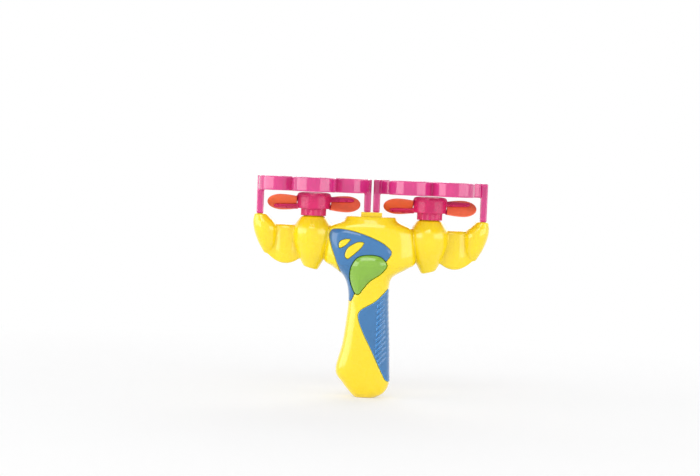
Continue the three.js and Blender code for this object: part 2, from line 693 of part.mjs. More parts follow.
// Both shells start as one hollow case, with bosses, sockets and cradles
function caseShell() {
  let extra = boxOf(-PLATFORM_HALF, PLATFORM_HALF, -PLATFORM_DEPTH / 2, PLATFORM_DEPTH / 2,
    PLATFORM_TOP - TENON_DEPTH - FIT - SOCKET_WALL, PLATFORM_TOP);
  let holes = null;
  for (const { x, floor } of socketPlaces()) {
    const around = tenonBox(x, floor, FIT + SOCKET_WALL);
    extra = extra.add(around.intersect(midWall));
    const pocket = tenonBox(x, floor, FIT);
    holes = holes ? holes.add(pocket) : pocket;
  }
  for (const side of [-1, 1]) {
    extra = extra.add(cradleOf(side));
    holes = holes.add(wirewayOf(side));
    holes = holes.add(columnOf(side * HEAD_X, 0, BUSH_RADIUS + FIT, MOTOR_TOP, FAR * 2, 14));
  }
  let bosses = null;
  for (const { x, z, seat } of SCREWS) {
    const radius = SCREW_HEAD + FIT + BOSS_WALL;
    const boss = barOf(x, z, radius, -FAR, FAR, 6);
    bosses = bosses ? bosses.add(boss) : boss;
    holes = holes.add(barOf(x, z, SCREW_HEAD + FIT, seat, FAR, 8));
    holes = holes.add(barOf(x, z, SCREW_SHANK + FIT, seat - SCREW_LENGTH - FIT, seat + 1, 6));
  }
  const shell = caseOuter.subtract(caseInner);
  return shell.add(bosses.intersect(midWall)).add(extra).subtract(holes);
}

// The recess for an inlay, which ends at the given depth round the side
function inlayCut(outline, back) {
  return plankOf(grown(outline, FIT), -FAR, back + FIT).subtract(bodyOf(INLAY_DEPTH + FIT));
}

function buildCase() {
  const shell = caseShell();
  const gripCut = inlayCut(gripOutline, GRIP_EDGE);
  let panelCut = inlayCut(panelOutline, PANEL_EDGE);
  let leaves = null;
  for (const outline of leafOutlines) {
    const plank = plankOf(outline, -FAR, 0);
    panelCut = panelCut.subtract(plank);
    const raised = plank.intersect(bodyOf(-LEAF_PROUD)).subtract(bodyOf(INLAY_DEPTH + FIT));
    leaves = leaves ? leaves.add(raised) : raised;
  }
  const buttonHole = plankOf(grown(buttonOutline, BUTTON_PLAY), -FAR, -WALL);

  const frontHalf = boxOf(-FAR, FAR, -FAR, -FIT / 2, -FAR, FAR * 2);
  let front = shell.intersect(frontHalf).subtract(panelCut).subtract(gripCut);
  front = front.add(leaves).subtract(buttonHole).subtract(tubOf(FIT));
  addNode("front_shell", front, YELLOW);

  const rearHalf = boxOf(-FAR, FAR, FIT / 2, FAR, -FAR, FAR * 2);
  const screwHole = barOf(0, DOOR_SCREW_Z, SCREW_SHANK + DOOR_SCREW_PLAY, DOOR_SCREW_END - FIT, FAR, 10);
  let rear = shell.intersect(rearHalf).add(tubOf(0).intersect(bodyOf(WALL / 2)));
  rear = rear.subtract(gripCut).subtract(bayOf()).subtract(doorBox(FIT));
  rear = rear.subtract(tongueRoom()).subtract(screwHole);
  addNode("rear_shell", rear, YELLOW);

  for (const { name, x, z, seat } of SCREWS) {
    addNode(name, screwOf(x, z, seat, SCREW_LENGTH), STEEL);
  }
}

function buildDoor() {
  const body = bodyOf(0);
  const half = DOOR_WIDTH / 2 - DOOR_RIM;
  const hollow = boxOf(-half, half, 0, FAR, DOOR_BOTTOM + DOOR_RIM + 1, BAY_TOP).intersect(bodyOf(DOOR_WALL));
  const well = doorScrewSeat();
  let door = body.intersect(doorBox(0)).subtract(hollow).add(tongueOf());
  door = door.subtract(barOf(0, DOOR_SCREW_Z, SCREW_HEAD + FIT, well, FAR, 12));
  door = door.subtract(barOf(0, DOOR_SCREW_Z, SCREW_SHANK + FIT, 0, FAR, 10));
  addNode("battery_door", door, YELLOW);
  addNode("battery_door_screw", screwOf(0, DOOR_SCREW_Z, well, well - DOOR_SCREW_END), STEEL);
}

// The head of the door's screw sits just under the surface of the door
function doorScrewSeat() {
  const near = BODY_STATIONS.find((s) => s.z > DOOR_SCREW_Z - 5);
  return near.depth - SCREW_HEAD_HEIGHT - 1;
}

function buildPanel() {
  let panel = plankOf(panelOutline, -FAR, PANEL_EDGE).intersect(bodyOf(-INLAY_PROUD));
  panel = panel.subtract(bodyOf(INLAY_DEPTH));
  panel = panel.subtract(plankOf(grown(buttonOutline, BUTTON_PLAY), -FAR, 0));
  for (const outline of leafOutlines) {
    panel = panel.subtract(plankOf(grown(outline, FIT), -FAR, 0));
  }
  addNode("front_panel", panel, BLUE);
}

function buildGrip() {
  let ribs = null;
  for (let i = 0; i < RIB_COUNT; i++) {
    const low = RIB_FIRST + i * RIB_PITCH;
    const end = RIB_START + FAR;
    const rise = (end - RIB_START) * Math.tan(THREE.MathUtils.degToRad(RIB_SLANT));
    const outline = [
      new THREE.Vector2(RIB_START, low),
      new THREE.Vector2(end, low + rise),
      new THREE.Vector2(end, low + rise + RIB_WIDTH),
      new THREE.Vector2(RIB_START, low + RIB_WIDTH),
    ];
    const rib = plankOf(outline, -FAR, GRIP_EDGE);
    ribs = ribs ? ribs.add(rib) : rib;
  }
  const plank = plankOf(gripOutline, -FAR, GRIP_EDGE);
  const skin = plank.intersect(bodyOf(-INLAY_PROUD));
  const ridges = plank.intersect(ribs).intersect(bodyOf(-RIB_PROUD));
  addNode("side_grip", skin.add(ridges).subtract(bodyOf(INLAY_DEPTH)), BLUE);
}

function buildButton() {
  const seat = WALL + FIT;
  const depth = seat + FLANGE_THICKNESS;
  const flangeOutline = grown(buttonOutline, FLANGE_MARGIN);
  let cap = plankOf(buttonOutline, -FAR, FLANGE_EDGE).intersect(bodyOf(-BUTTON_PROUD));
  cap = cap.add(plankOf(flangeOutline, -FAR, FLANGE_EDGE).intersect(roomOf(seat)));
  const inside = plankOf(grown(buttonOutline, -BUTTON_WALL), -FAR, 0);
  const hollow = inside.intersect(bodyOf(BUTTON_WALL - BUTTON_PROUD));
  cap = cap.subtract(roomOf(depth)).subtract(hollow);
  const stem = barOf(SWITCH_X, SWITCH_Z, STEM_RADIUS, -FAR, PLUNGER_END - FIT, 12);
  cap = cap.add(stem.intersect(bodyOf(0.5 - BUTTON_PROUD)));
  addNode("power_button", cap, GREEN);

  const [halfX, halfZ] = [SWITCH_WIDTH / 2, SWITCH_HEIGHT / 2];
  let body = boxOf(SWITCH_X - halfX, SWITCH_X + halfX, SWITCH_FRONT, SWITCH_BACK,
    SWITCH_Z - halfZ, SWITCH_Z + halfZ);
  for (const side of [-1, 1]) {
    const x = SWITCH_X + side * halfX;
    const y = (SWITCH_FRONT + SWITCH_BACK) / 2;
    body = body.add(boxOf(x - 1.2, x + 1.2, y - 0.3, y + 0.3, SWITCH_Z - 3, SWITCH_Z + 3));
  }
  const well = barOf(SWITCH_X, SWITCH_Z, PLUNGER_RADIUS + FIT, -FAR, SWITCH_BACK - 0.8, 12);
  addNode("push_switch", body.subtract(well), DARK);
  const plungerBack = SWITCH_BACK - 0.8 - BUTTON_TRAVEL - FIT;
  const plunger = barOf(SWITCH_X, SWITCH_Z, PLUNGER_RADIUS, PLUNGER_END, plungerBack, 12);
  addNode("switch_plunger", plunger, NYLON);

  const springFront = SWITCH_FRONT - FIT;
  const springLength = springFront - buttonUnderside() - FIT;
  let spring = coilOf("button_spring", RETURN_RADIUS, RETURN_WIRE, springLength, RETURN_TURNS);
  spring = spring.rotate(90, 0, 0).translate(SWITCH_X, springFront, SWITCH_Z);
  addNode("button_spring", spring, STEEL);
}

// Where the underside of the button's top is nearest to the switch, around the spring
function buttonUnderside() {
  const sections = bodySections(BUTTON_WALL - BUTTON_PROUD, BODY_STEPS);
  const low = sections.findLast((s) => s.z < SWITCH_Z - RETURN_RADIUS);
  return -low.depth * (1 - 0.25 ** BODY_POWER) ** (1 / BODY_POWER) + FIT;
}

function buildHead(side, label) {
  const x = side * HEAD_X;
  buildRing(side, label);

  let can = canOf(side, 0, CAN_BOTTOM, MOTOR_TOP);
  can = can.add(columnOf(x, 0, BUSH_RADIUS, MOTOR_TOP - 1, MOTOR_TOP + BUSH_HEIGHT, 14));
  const shaftFoot = MOTOR_TOP - SHAFT_IN_CAN;
  can = can.subtract(columnOf(x, 0, SHAFT_RADIUS + FIT, shaftFoot - FIT, FAR * 2, 10));
  addNode(`${label}_motor_can`, can, STEEL);
  let cap = canOf(side, 0, MOTOR_BOTTOM, CAN_BOTTOM - FIT);
  for (const y of [-1, 1]) {
    const inward = x - side * (MOTOR_RADIUS + 1.5);
    const tab = boxOf(Math.min(inward, x), Math.max(inward, x), y * 4 - 1, y * 4 + 1,
      MOTOR_BOTTOM + 1.5, MOTOR_BOTTOM + 2.3);
    cap = cap.add(tab);
  }
  addNode(`${label}_motor_end_cap`, cap, NYLON);
  const shaftTop = HUB_TOP - HUB_WALL - 1;
  addNode(`${label}_motor_shaft`, columnOf(x, 0, SHAFT_RADIUS, shaftFoot, shaftTop - FIT, 10), STEEL);
  buildFan(side, label, shaftTop);
}

function buildRing(side, label) {
  const x = side * HEAD_X;
  let ring = postOf(-POST_X, side < 0 ? LOBE_TOP : PLATFORM_TOP);
  ring = ring.add(postOf(POST_X, side > 0 ? LOBE_TOP : PLATFORM_TOP));
  let bores = null;
  for (let i = 0; i < LOOP_COUNT; i++) {
    // One loop faces the front on the left head, and the back on the right head
    const turn = side * Math.PI / 2 + (2 * Math.PI * i) / LOOP_COUNT;
    const [across, deep] = [LOOP_CENTRE * Math.cos(turn), LOOP_CENTRE * Math.sin(turn)];
    ring = ring.add(columnOf(across, deep, LOOP_RADIUS + LOOP_WALL / 2, RING_BOTTOM, RING_TOP, 24));
    const bore = columnOf(across, deep, LOOP_RADIUS - LOOP_WALL / 2, RING_BOTTOM - 1, RING_TOP + 1, 24);
    bores = bores ? bores.add(bore) : bore;
  }
  addNode(`${label}_bubble_ring`, ring.subtract(bores).translate(x, 0, 0), PINK);
}

// A post from the top of the loops down to its seat, with a tenon below
function postOf(x, floor) {
  const unit = squaredEllipse(16, 5);
  const rows = [[floor + FIT, POST_TAPER / 2], [RING_BOTTOM - 6, 0], [RING_TOP, 0]];
  const rings = rows.map(([z, slim]) => unit.map(([c, t]) => {
    return new THREE.Vector3(x + c * (POST_RADIAL / 2 - slim), t * (POST_WIDTH / 2 - slim), z);
  }));
  const half = POST_RADIAL / 2 - TENON_INSET;
  const wide = POST_WIDTH / 2 - TENON_INSET;
  const tenon = boxOf(x - half, x + half, -wide, wide, floor - TENON_DEPTH, floor + 1);
  return lofted(rings).add(tenon);
}

function buildFan(side, label, shaftTop) {
  const x = side * HEAD_X;
  const skirtFoot = POD_TOP + RUN;
  const outline = [
    [0, shaftTop], [SHAFT_RADIUS + FIT, shaftTop], [SHAFT_RADIUS + FIT, HUB_BASE],
    [SHAFT_RADIUS + FIT + HUB_WALL, HUB_BASE], [SHAFT_RADIUS + FIT + HUB_WALL, HUB_TOP - HUB_WALL],
    [HUB_RADIUS * 0.6, HUB_TOP - HUB_WALL], [HUB_RADIUS - HUB_WALL, HUB_RIM - HUB_WALL / 2],
    [HUB_RADIUS - HUB_WALL, HUB_BASE + HUB_WALL],
    [SKIRT_RADIUS - HUB_WALL, HUB_BASE + HUB_WALL], [SKIRT_RADIUS - HUB_WALL, skirtFoot],
    [SKIRT_RADIUS, skirtFoot], [SKIRT_RADIUS, HUB_BASE], [HUB_RADIUS, HUB_BASE],
  ];
  const profile = outline.map(([r, z]) => new THREE.Vector2(r, z));
  const dome = new THREE.EllipseCurve(0, HUB_RIM, HUB_RADIUS, HUB_TOP - HUB_RIM, 0, Math.PI / 2);
  let hub = turned(profile.concat(dome.getPoints(4)), 0, 22);
  for (const turn of [0, 180]) {
    hub = hub.add(armOf(1).add(armOf(-1)).rotate(0, 0, turn));
  }
  addNode(`${label}_fan_hub`, hub.translate(x, 0, 0), PINK);
  const clear = columnOf(0, 0, HUB_RADIUS + FIT, HUB_BASE - 20, HUB_TOP + 20, 22);
  [0, 180].forEach((turn, i) => {
    const blade = bladeOf().subtract(clear).rotate(0, 0, turn).translate(x, 0, 0);
    addNode(`${label}_fan_blade_${i + 1}`, blade, ORANGE);
  });
}

// A place on the pitched blade: out from the axis, along the chord, off the face
function bladePlace(out, along, off) {
  const pitch = THREE.MathUtils.degToRad(BLADE_PITCH);
  const [c, s] = [Math.cos(pitch), Math.sin(pitch)];
  return new THREE.Vector3(out, along * c - off * s, BLADE_HEIGHT + along * s + off * c);
}

// The chord's share at a place along the blade, 0 at its root and 1 at its tip
function chordShare(along) {
  if (along < BLADE_WIDEST) {
    const rise = Math.sin((Math.PI / 2) * (along / BLADE_WIDEST));
    return BLADE_ROOT_SHARE + (1 - BLADE_ROOT_SHARE) * rise;
  }
  return Math.sqrt(1 - ((along - BLADE_WIDEST) / (1 - BLADE_WIDEST)) ** 2);
}

function bladeOf() {
  const root = HUB_RADIUS * 0.7;
  const unit = squaredEllipse(12, 3);
  const places = [0, 0.3, 0.6, 0.75, 0.87, 0.95, 0.99];
  return lofted(places.map((along) => unit.map(([c, t]) => {
    const out = root + (BLADE_TIP - root) * along;
    return bladePlace(out, c * chordShare(along) * BLADE_CHORD / 2, t * BLADE_THICKNESS / 2);
  })));
}

// One of the hub's two tapering prongs that hold a blade between them
function armOf(face) {
  const off = face * (BLADE_THICKNESS / 2 + FIT + ARM_THICKNESS / 2);
  const unit = squaredEllipse(10, 3);
  const rows = [[HUB_RADIUS - HUB_WALL / 2, 1], [ARM_REACH - 3, 0.75], [ARM_REACH, 0.45]];
  return lofted(rows.map(([out, share]) => unit.map(([c, t]) => {
    const along = face * ARM_OFFSET + c * share * ARM_WIDTH / 2;
    return bladePlace(out, along, off + t * ARM_THICKNESS / 2);
  })));
}

// A cell with its nub up or down, standing on the given height
function cellOf(x, low, nubUp) {
  const shoulder = CELL_LENGTH - NUB_HEIGHT;
  const outline = [
    [0, 0], [CELL_RADIUS - 0.6, 0], [CELL_RADIUS, 0.6], [CELL_RADIUS, shoulder - 0.6],
    [CELL_RADIUS - 0.6, shoulder], [NUB_RADIUS, shoulder], [NUB_RADIUS, CELL_LENGTH], [0, CELL_LENGTH],
  ];
  let cell = turned(outline.map(([r, z]) => new THREE.Vector2(r, z)), 0, 16);
  if (!nubUp) {
    cell = cell.rotate(180, 0, 0).translate(0, 0, CELL_LENGTH);
  }
  return cell.translate(x, CELL_Y, low);
}

function buildPower() {
  const floor = BAY_BOTTOM + PLATE_SLOT;
  const step = CELL_LENGTH + FIT;
  const raised = floor + COIL_HEIGHT + FIT;
  addNode("battery_1", cellOf(-CELL_X, raised, true), SLEEVE);
  addNode("battery_2", cellOf(-CELL_X, raised + step, true), SLEEVE);
  addNode("battery_3", cellOf(CELL_X, floor, false), SLEEVE);
  addNode("battery_4", cellOf(CELL_X, floor + step, false), SLEEVE);

  const half = CELL_X + CELL_RADIUS - 1;
  const [front, back] = [CELL_Y - PLATE_DROP, DOOR_SEAT - 1];
  const low = BAY_BOTTOM + FIT;
  addNode("bridge_contact", boxOf(-half, half, front, back, low, low + PLATE), STEEL);
  const lowCoil = coilOf("bridge_spring", COIL_RADIUS, COIL_WIRE, COIL_HEIGHT, COIL_TURNS);
  addNode("bridge_spring", lowCoil.translate(-CELL_X, CELL_Y, floor), STEEL);

  const high = BAY_TOP - FIT - PLATE;
  ["positive_contact", "negative_contact"].forEach((name, i) => {
    const side = i === 0 ? -1 : 1;
    const [x0, x1] = side < 0 ? [-half, -1] : [1, half];
    const plate = boxOf(x0, x1, front, back, high, high + PLATE);
    addNode(name, plate.add(contactTab(side, 0, TAB_RISE)), STEEL);
  });
  const highCoil = coilOf("negative_spring", COIL_RADIUS, COIL_WIRE, COIL_HEIGHT, COIL_TURNS);
  addNode("negative_spring", highCoil.translate(CELL_X, CELL_Y, high - FIT - COIL_HEIGHT), STEEL);
}

// Leads from the contacts to the switch and from both to the motors
function buildWires() {
  const gap = WIRE_RADIUS + FIT;
  const tabZ = BAY_TOP + TAB_RISE - 2;
  const tabY = CELL_Y - PLATE_DROP - gap;
  const pinY = (SWITCH_FRONT + SWITCH_BACK) / 2 - 0.3 - gap;
  const pinX = SWITCH_WIDTH / 2 + 0.6;
  const bendZ = SWITCH_Z + 4.2; // where the leads bend over towards the switch
  const feed = [
    [-CELL_X, tabY, tabZ], [-CELL_X - 2, tabY - 3, tabZ], [SWITCH_X - pinX - 1, pinY, bendZ],
    [SWITCH_X - pinX, pinY, SWITCH_Z],
  ];
  addNode("wire_battery_to_switch", wireOf(feed, WIRE_RADIUS, 12, 6), RED);
  for (const [side, label] of [[-1, "left"], [1, "right"]]) {
    const endX = side * (HEAD_X - MOTOR_RADIUS - 0.8);
    const endZ = MOTOR_BOTTOM + 2.3 + gap;
    const pinZ = SWITCH_Z - side * 2;
    const live = [
      [SWITCH_X + pinX + FIT, pinY, pinZ], [SWITCH_X + pinX + 2.5 + side * 1.5, pinY - side * 1.2, bendZ],
      [side * 16 + 3, pinY - side * 1.2, endZ - 6], [side * (HEAD_X - 24), -6, endZ], [endX, -4, endZ],
    ];
    addNode(`wire_switch_to_${label}_motor`, wireOf(live, WIRE_RADIUS, 12, 6), RED);
    const back = [
      [CELL_X + side * 1, tabY, tabZ], [CELL_X + side * 1.2, tabY - 1, tabZ + 6],
      [side * 18 + 3, 1 - side, endZ - 5], [side * (HEAD_X - 24), 4, endZ], [endX, 4, endZ],
    ];
    addNode(`wire_return_${label}_motor`, wireOf(back, WIRE_RADIUS, 12, 6), DARK);
  }
}

buildCase();
buildDoor();
buildPanel();
buildGrip();
buildButton();
buildHead(-1, "left");
buildHead(1, "right");
buildPower();
buildWires();

export default blower;
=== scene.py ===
import math

import bpy
import numpy as np
import openvdb
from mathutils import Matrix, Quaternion, Vector


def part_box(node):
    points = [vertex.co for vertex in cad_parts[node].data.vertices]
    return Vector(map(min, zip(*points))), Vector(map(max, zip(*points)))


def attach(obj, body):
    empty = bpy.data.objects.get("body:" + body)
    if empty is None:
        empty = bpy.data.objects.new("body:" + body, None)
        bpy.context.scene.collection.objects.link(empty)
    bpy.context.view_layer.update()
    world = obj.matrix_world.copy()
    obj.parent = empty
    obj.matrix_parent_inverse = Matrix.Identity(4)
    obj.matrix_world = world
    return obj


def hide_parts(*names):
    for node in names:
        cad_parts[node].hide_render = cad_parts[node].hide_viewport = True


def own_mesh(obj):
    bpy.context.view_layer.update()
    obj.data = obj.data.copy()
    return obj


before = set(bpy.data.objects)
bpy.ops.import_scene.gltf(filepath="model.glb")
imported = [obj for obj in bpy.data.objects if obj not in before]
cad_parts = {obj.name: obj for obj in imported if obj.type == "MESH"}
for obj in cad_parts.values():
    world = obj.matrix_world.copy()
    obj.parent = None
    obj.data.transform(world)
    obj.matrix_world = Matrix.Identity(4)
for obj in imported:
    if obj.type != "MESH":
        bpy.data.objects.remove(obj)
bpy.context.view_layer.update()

# Looks of the twin-headed bubble blower. Sizes are in millimetres, as in the part's source,
# and become metres where a mesh is made. Heights are from the foot of the handle.
MM = 0.001
COARSE = 1.0  # wider sampling while trying things
OFF_GRID = 0.003  # keeps flat faces from falling right on sample points
REACH = 7.0  # how far from the case surface its distance is needed
FAR = 60.0  # past the part's surface, for cuts that run right out

FIT, WALL = 0.3, 2.4

# Body, pods, lobes and the webs between them
HEAD_X, POST_X = 58.0, 53.5
SHOULDER = 46.0
BODY_STATIONS = [  # height, then reach to the left, right and front
    (0, 10, 10, 9), (5, 15, 19, 13.5), (14, 22.5, 24, 16.5), (27, 30, 23.8, 18), (55, 24, 22.5, 18),
    (92, 20, 20.3, 18), (109, 20.5, 20.3, 18.6), (121, 25.5, 23.5, 20),
    (130, SHOULDER - 8.5, SHOULDER - 8, 21.6), (137, SHOULDER, SHOULDER, 22.4), (160, SHOULDER, SHOULDER, 22),
    (170, SHOULDER - 4, SHOULDER - 5, 20.5), (176.5, 28, 27.5, 17.5), (181, 25.2, 24.4, 15),
]
BODY_POWER = 3
POD_RADIUS, POD_TOP_RADIUS, POD_FOOT_RADIUS = 20.0, 12.3, 6.8
POD_TOP, POD_WAIST, POD_FOOT = 179.0, 163.0, 127.0
POD_FOOT_SLANT = 14.0  # degrees
COLLAR_RADIUS, COLLAR_RISE, COLLAR_ROOT = 10.0, 2.2, 1.5  # stands up inside the hub's skirt
LOBE_TOP, LOBE_X = 180.0, 105.0
LOBE_STATIONS = [  # down from the top, middle inward of the post, reach to the side and the front
    (39.5, 8.5, 2.7, 2.8), (34, 9, 6.6, 6.8), (29, 8.4, 8.9, 9), (20, 7, 11.3, 11), (13.5, 6.2, 12.2, 11.6),
    (8, 4.2, 10.8, 10.6), (4.5, 2.4, 8.6, 9), (0, 0.3, 5.8, 7.2),
]
WEB_TOP, WEB_LOW, WEB_SAG = 170.0, 131.0, 60.0
WEB_DEPTH, WEB_BULGE, WEB_LEAST, WEB_MIDDLE = 6.2, 55.0, 3.6, 0.56
PLATFORM_TOP, PLATFORM_FOOT = 185.5, 172.0
PLATFORM_HALF, PLATFORM_DEPTH = 10.5, 17.0

# Rings and fans
RING_RADIUS, RING_HEIGHT, RING_TOP = 57.0, 14.0, 218.0
RING_BOTTOM = RING_TOP - RING_HEIGHT
LOOP_COUNT, LOOP_WALL = 5, 2.0
LOOP_RIB, LOOP_RIBS = 0.5, 54  # fine ribs inside each loop that hold the liquid
POST_RADIAL, POST_WIDTH, POST_CORNER = 7.0, 10.0, 1.6
POST_TAPER, POST_TAPER_END = 0.2, 6.0  # thinner towards the case, from a little under the ring
TENON_INSET, TENON_DEPTH, SOCKET_WALL = 1.7, 8.0, 1.6
HUB_RADIUS, HUB_WALL, HUB_TOP, HUB_RIM, HUB_BASE = 16.5, 2.0, 203.0, 199.5, 186.7
DOME = 0.5  # the lower, the boxier
BEAD_RADIUS, BEAD_SINK = 0.55, 0.1
SKIRT_RADIUS, SKIRT_FOOT = 13.0, 179.8
SKIRT_FLUTES, FLUTE_DEPTH = 10, 0.7
SHAFT_HOLE, SHAFT_TOP = 1.3, 201.0
BLADE_TIP, BLADE_GAP, BLADE_HEIGHT = 46.5, 0.5, 192.3
BLADE_CHORD, BLADE_THICKNESS = 24.0, 2.4
BLADE_PITCH = 40.0  # degrees
BLADE_INNER, BLADE_WIDEST, BLADE_ROOT_SHARE = 0.7, 0.6, 0.68
ARM_REACH, ARM_WIDTH, ARM_THICKNESS, ARM_OFFSET = 40.0, 7.0, 1.8, 3.5

# Motors, cells, door and screws
MOTOR_RADIUS, MOTOR_FLAT, MOTOR_TOP, MOTOR_BOTTOM = 10.0, 7.5, 176.3, 151.0
CRADLE_PLATE, CRADLE_DROP = 2.0, 13.0
BUSH_RADIUS, BUSH_BOTTOM, BUSH_TOP = 3.0, 170.0, 195.0
CELL_X, CELL_Y, GROOVE = 7.4, 4.1, 7.4
BAY_BOTTOM, BAY_TOP, TUB_WALL = 20.0, 127.2, 1.6
TUB_HALF, TUB_FRONT = 16.4, -4.9
STALK_HALF, STALK_FRONT = 6.0, 2.0  # carries the door's screw
PLATE_SLOT, PLATE_DROP = 1.1, 5.0
TAB_HALF, TAB_THICKNESS, TAB_RISE = 2.3, 1.1, 6.0
DOOR_SEAT, DOOR_HALF, DOOR_BOTTOM, DOOR_TOP = 11.5, 16.0, 17.5, 137.0
DOOR_WALL, DOOR_SIDE, DOOR_LEDGE = 2.2, 2.0, 3.0
TONGUE_HALF, TONGUE_DROP, TONGUE_THICKNESS = 6.0, 3.0, 2.0
TONGUE_SWING = 0.8  # room in front for it to turn
DOOR_SCREW_Z, DOOR_SCREW_END, DOOR_WELL = 132.5, 7.0, 18.8
SCREW_HEAD, SCREW_SHANK, SCREW_LENGTH, BOSS_RADIUS = 2.6, 1.25, 14.0, 4.9
SCREWS = [  # place, and where the seat under the head is
    (-LOBE_X, 158, 6.6), (LOBE_X, 158, 6.6), (-HEAD_X, 138, 6.8), (HEAD_X, 138, 6.8),
    (-31, 164, 15), (31, 164, 15), (0, 10, 11),
]
CELL_COIL = {"radius": 4.0, "wire": 0.5, "turns": 2}
RETURN_COIL = {"radius": 4.4, "wire": 0.4, "turns": 4}

# Inlays and button. Outlines are as seen from the front.
INLAY_DEPTH, INLAY_PROUD, LEAF_PROUD = 1.0, 0.5, 0.9
PANEL_EDGE, PANEL_CROWN, PANEL_FALL = -3.0, 0.4, 1.3
PANEL_ROUND, BUTTON_ROUND = 6.0, 10.0  # how far in from the edge these keep rising
GRIP_EDGE = 8.5
RIB_COUNT, RIB_PITCH, RIB_FIRST = 12, 5.6, 29.0
RIB_WIDTH, RIB_PROUD, RIB_START = 2.4, 1.7, 9.0
RIB_SLANT = 42.0  # degrees
RIB_FALL, RIB_RUN, RIB_SIDE = 15.0, 2.5, 0.55  # the ribs are lower round the side than in front
BUTTON_PROUD, BUTTON_WALL, BUTTON_PLAY = 2.6, 2.0, 0.4
BUTTON_CROWN, BUTTON_FALL = 1.2, 3.6
FLANGE_MARGIN, FLANGE_THICKNESS, FLANGE_EDGE = 1.5, 1.2, -11.0
SWITCH_X, SWITCH_Z, STEM_RADIUS, STEM_END = -7.0, 122.0, 2.6, -14.6
PANEL_PLACES = [
    (21.2, 146.5), (14, 154), (1, 160.4), (-13, 165.1), (-28, 167.9), (-38.6, 167), (-41.2, 162),
    (-39.5, 153), (-35, 140.5), (-28.6, 124.7), (-24.1, 112.3), (-20.4, 96.5), (-17.6, 96.5),
    (-12, 108), (2, 124), (17, 138.5),
]
BUTTON_PLACES = [
    (17, 133.4), (11.4, 141), (-0.6, 143.1), (-12, 140.4), (-17.6, 133), (-19.6, 121.6),
    (-17.2, 111.5), (-13.2, 104.3), (-10.2, 103.6), (-6, 109), (0.5, 117), (11.6, 125.2),
]
GRIP_PLACES = [
    (19.1, 109.4), (9.2, 98.7), (1.4, 93.2), (-6.5, 88.3), (-9.5, 81.5),
    (-4.5, 67.1), (4.2, 50.3), (13.1, 32.2), (18.3, 22.2), (20.4, 18.9), (23.2, 17.2),
]
LEAVES = [
    [(-30.7, 149.3), (-26.2, 151), (-22.1, 154.9), (-19.9, 157.9), (-25.7, 158), (-29.8, 156.1),
     (-31.4, 152.9)],
    [(-22.3, 138.7), (-18.9, 141), (-13.1, 146.1), (-8, 151.8), (-6.7, 155.2), (-12, 155.6),
     (-17.7, 153), (-22.2, 149.6), (-24.5, 145.2), (-24.9, 141)],
]


# Shapes as signed distances, sampled over a box

def soft_min(a, b, width):
    """Union with a fillet."""
    share = np.clip(0.5 + 0.5 * (b - a) / width, 0, 1)
    return b + (a - b) * share - width * share * (1 - share)


def soft_max(a, b, width):
    """Intersection with a rounded edge."""
    return -soft_min(-a, -b, width)


class Space:
    """A box of sample points in mm."""

    def __init__(self, low, high, step):
        self.step = step
        self.low = np.floor(np.array(low, float) / step) * step
        self.count = np.ceil((np.array(high, float) - self.low) / step).astype(int) + 1
        x, y, z = (self.low[i] + step * np.arange(self.count[i]) for i in range(3))
        self.x, self.y, self.z = x[:, None, None], y[None, :, None], z[None, None, :]
        self.transform = openvdb.createLinearTransform(step)

    def of_mesh(self, mesh, reach):
        """Distance from a closed mesh, true within the given reach."""
        points, triangles, quads = mesh
        grid = openvdb.FloatGrid.createLevelSetFromPolygons(
            np.ascontiguousarray(points - self.low, np.float32),
            triangles=np.ascontiguousarray(triangles, np.uint32),
            quads=np.ascontiguousarray(quads, np.uint32),
            transform=self.transform, halfWidth=reach / self.step)
        field = np.empty(tuple(self.count), np.float32)
        grid.copyToArray(field)
        return field

    def mesh_of(self, field, level=0.0):
        """The surface at a level, as a mesh that of_mesh can read."""
        limit = 4 * self.step + abs(level)
        grid = openvdb.FloatGrid(limit)
        whole = np.broadcast_to(field, tuple(self.count))
        grid.copyFromArray(np.ascontiguousarray(np.clip(whole, -limit, limit), np.float32))
        grid.transform = self.transform
        points, quads = grid.convertToQuads(level + OFF_GRID)
        return points.astype(float) + self.low, np.zeros((0, 3), int), quads.astype(int)

    def block(self, x0, x1, y0, y1, z0, z1, rounding=0.0):
        """A box, with rounded edges if wanted."""
        far = [np.abs(axis - (a + b) / 2) - (b - a) / 2 + rounding
               for axis, a, b in ((self.x, x0, x1), (self.y, y0, y1), (self.z, z0, z1))]
        inside = np.maximum(np.maximum(far[0], far[1]), far[2])
        if rounding == 0:
            return inside
        outside = np.sqrt(sum(np.maximum(f, 0) ** 2 for f in far))
        return outside + np.minimum(inside, 0) - rounding

    def rod_y(self, x, z, radius, y0, y1):
        """A round bar from front to back."""
        across = np.hypot(self.x - x, self.z - z) - radius
        return np.maximum(across, np.abs(self.y - (y0 + y1) / 2) - (y1 - y0) / 2)

    def rod_z(self, x, y, radius, z0, z1):
        """An upright round bar."""
        across = np.hypot(self.x - x, self.y - y) - radius
        return np.maximum(across, np.abs(self.z - (z0 + z1) / 2) - (z1 - z0) / 2)

    def outline(self, corners):
        """Distance from an outline seen from the front, the same at every depth."""
        x, z = self.x[:, 0, :], self.z[0, :, :]
        nearest = np.full((x.shape[0], z.shape[1]), np.inf)
        inside = np.zeros(nearest.shape, bool)
        for (ax, az), (bx, bz) in zip(corners, np.roll(corners, -1, axis=0)):
            ex, ez = bx - ax, bz - az
            share = np.clip(((x - ax) * ex + (z - az) * ez) / (ex * ex + ez * ez), 0, 1)
            nearest = np.minimum(nearest, np.hypot(x - ax - share * ex, z - az - share * ez))
            if bz != az:
                crosses = (z >= min(az, bz)) & (z < max(az, bz))
                inside ^= crosses & (x < ax + (z - az) / ez * ex)
        return np.where(inside, -nearest, nearest)[:, None, :]


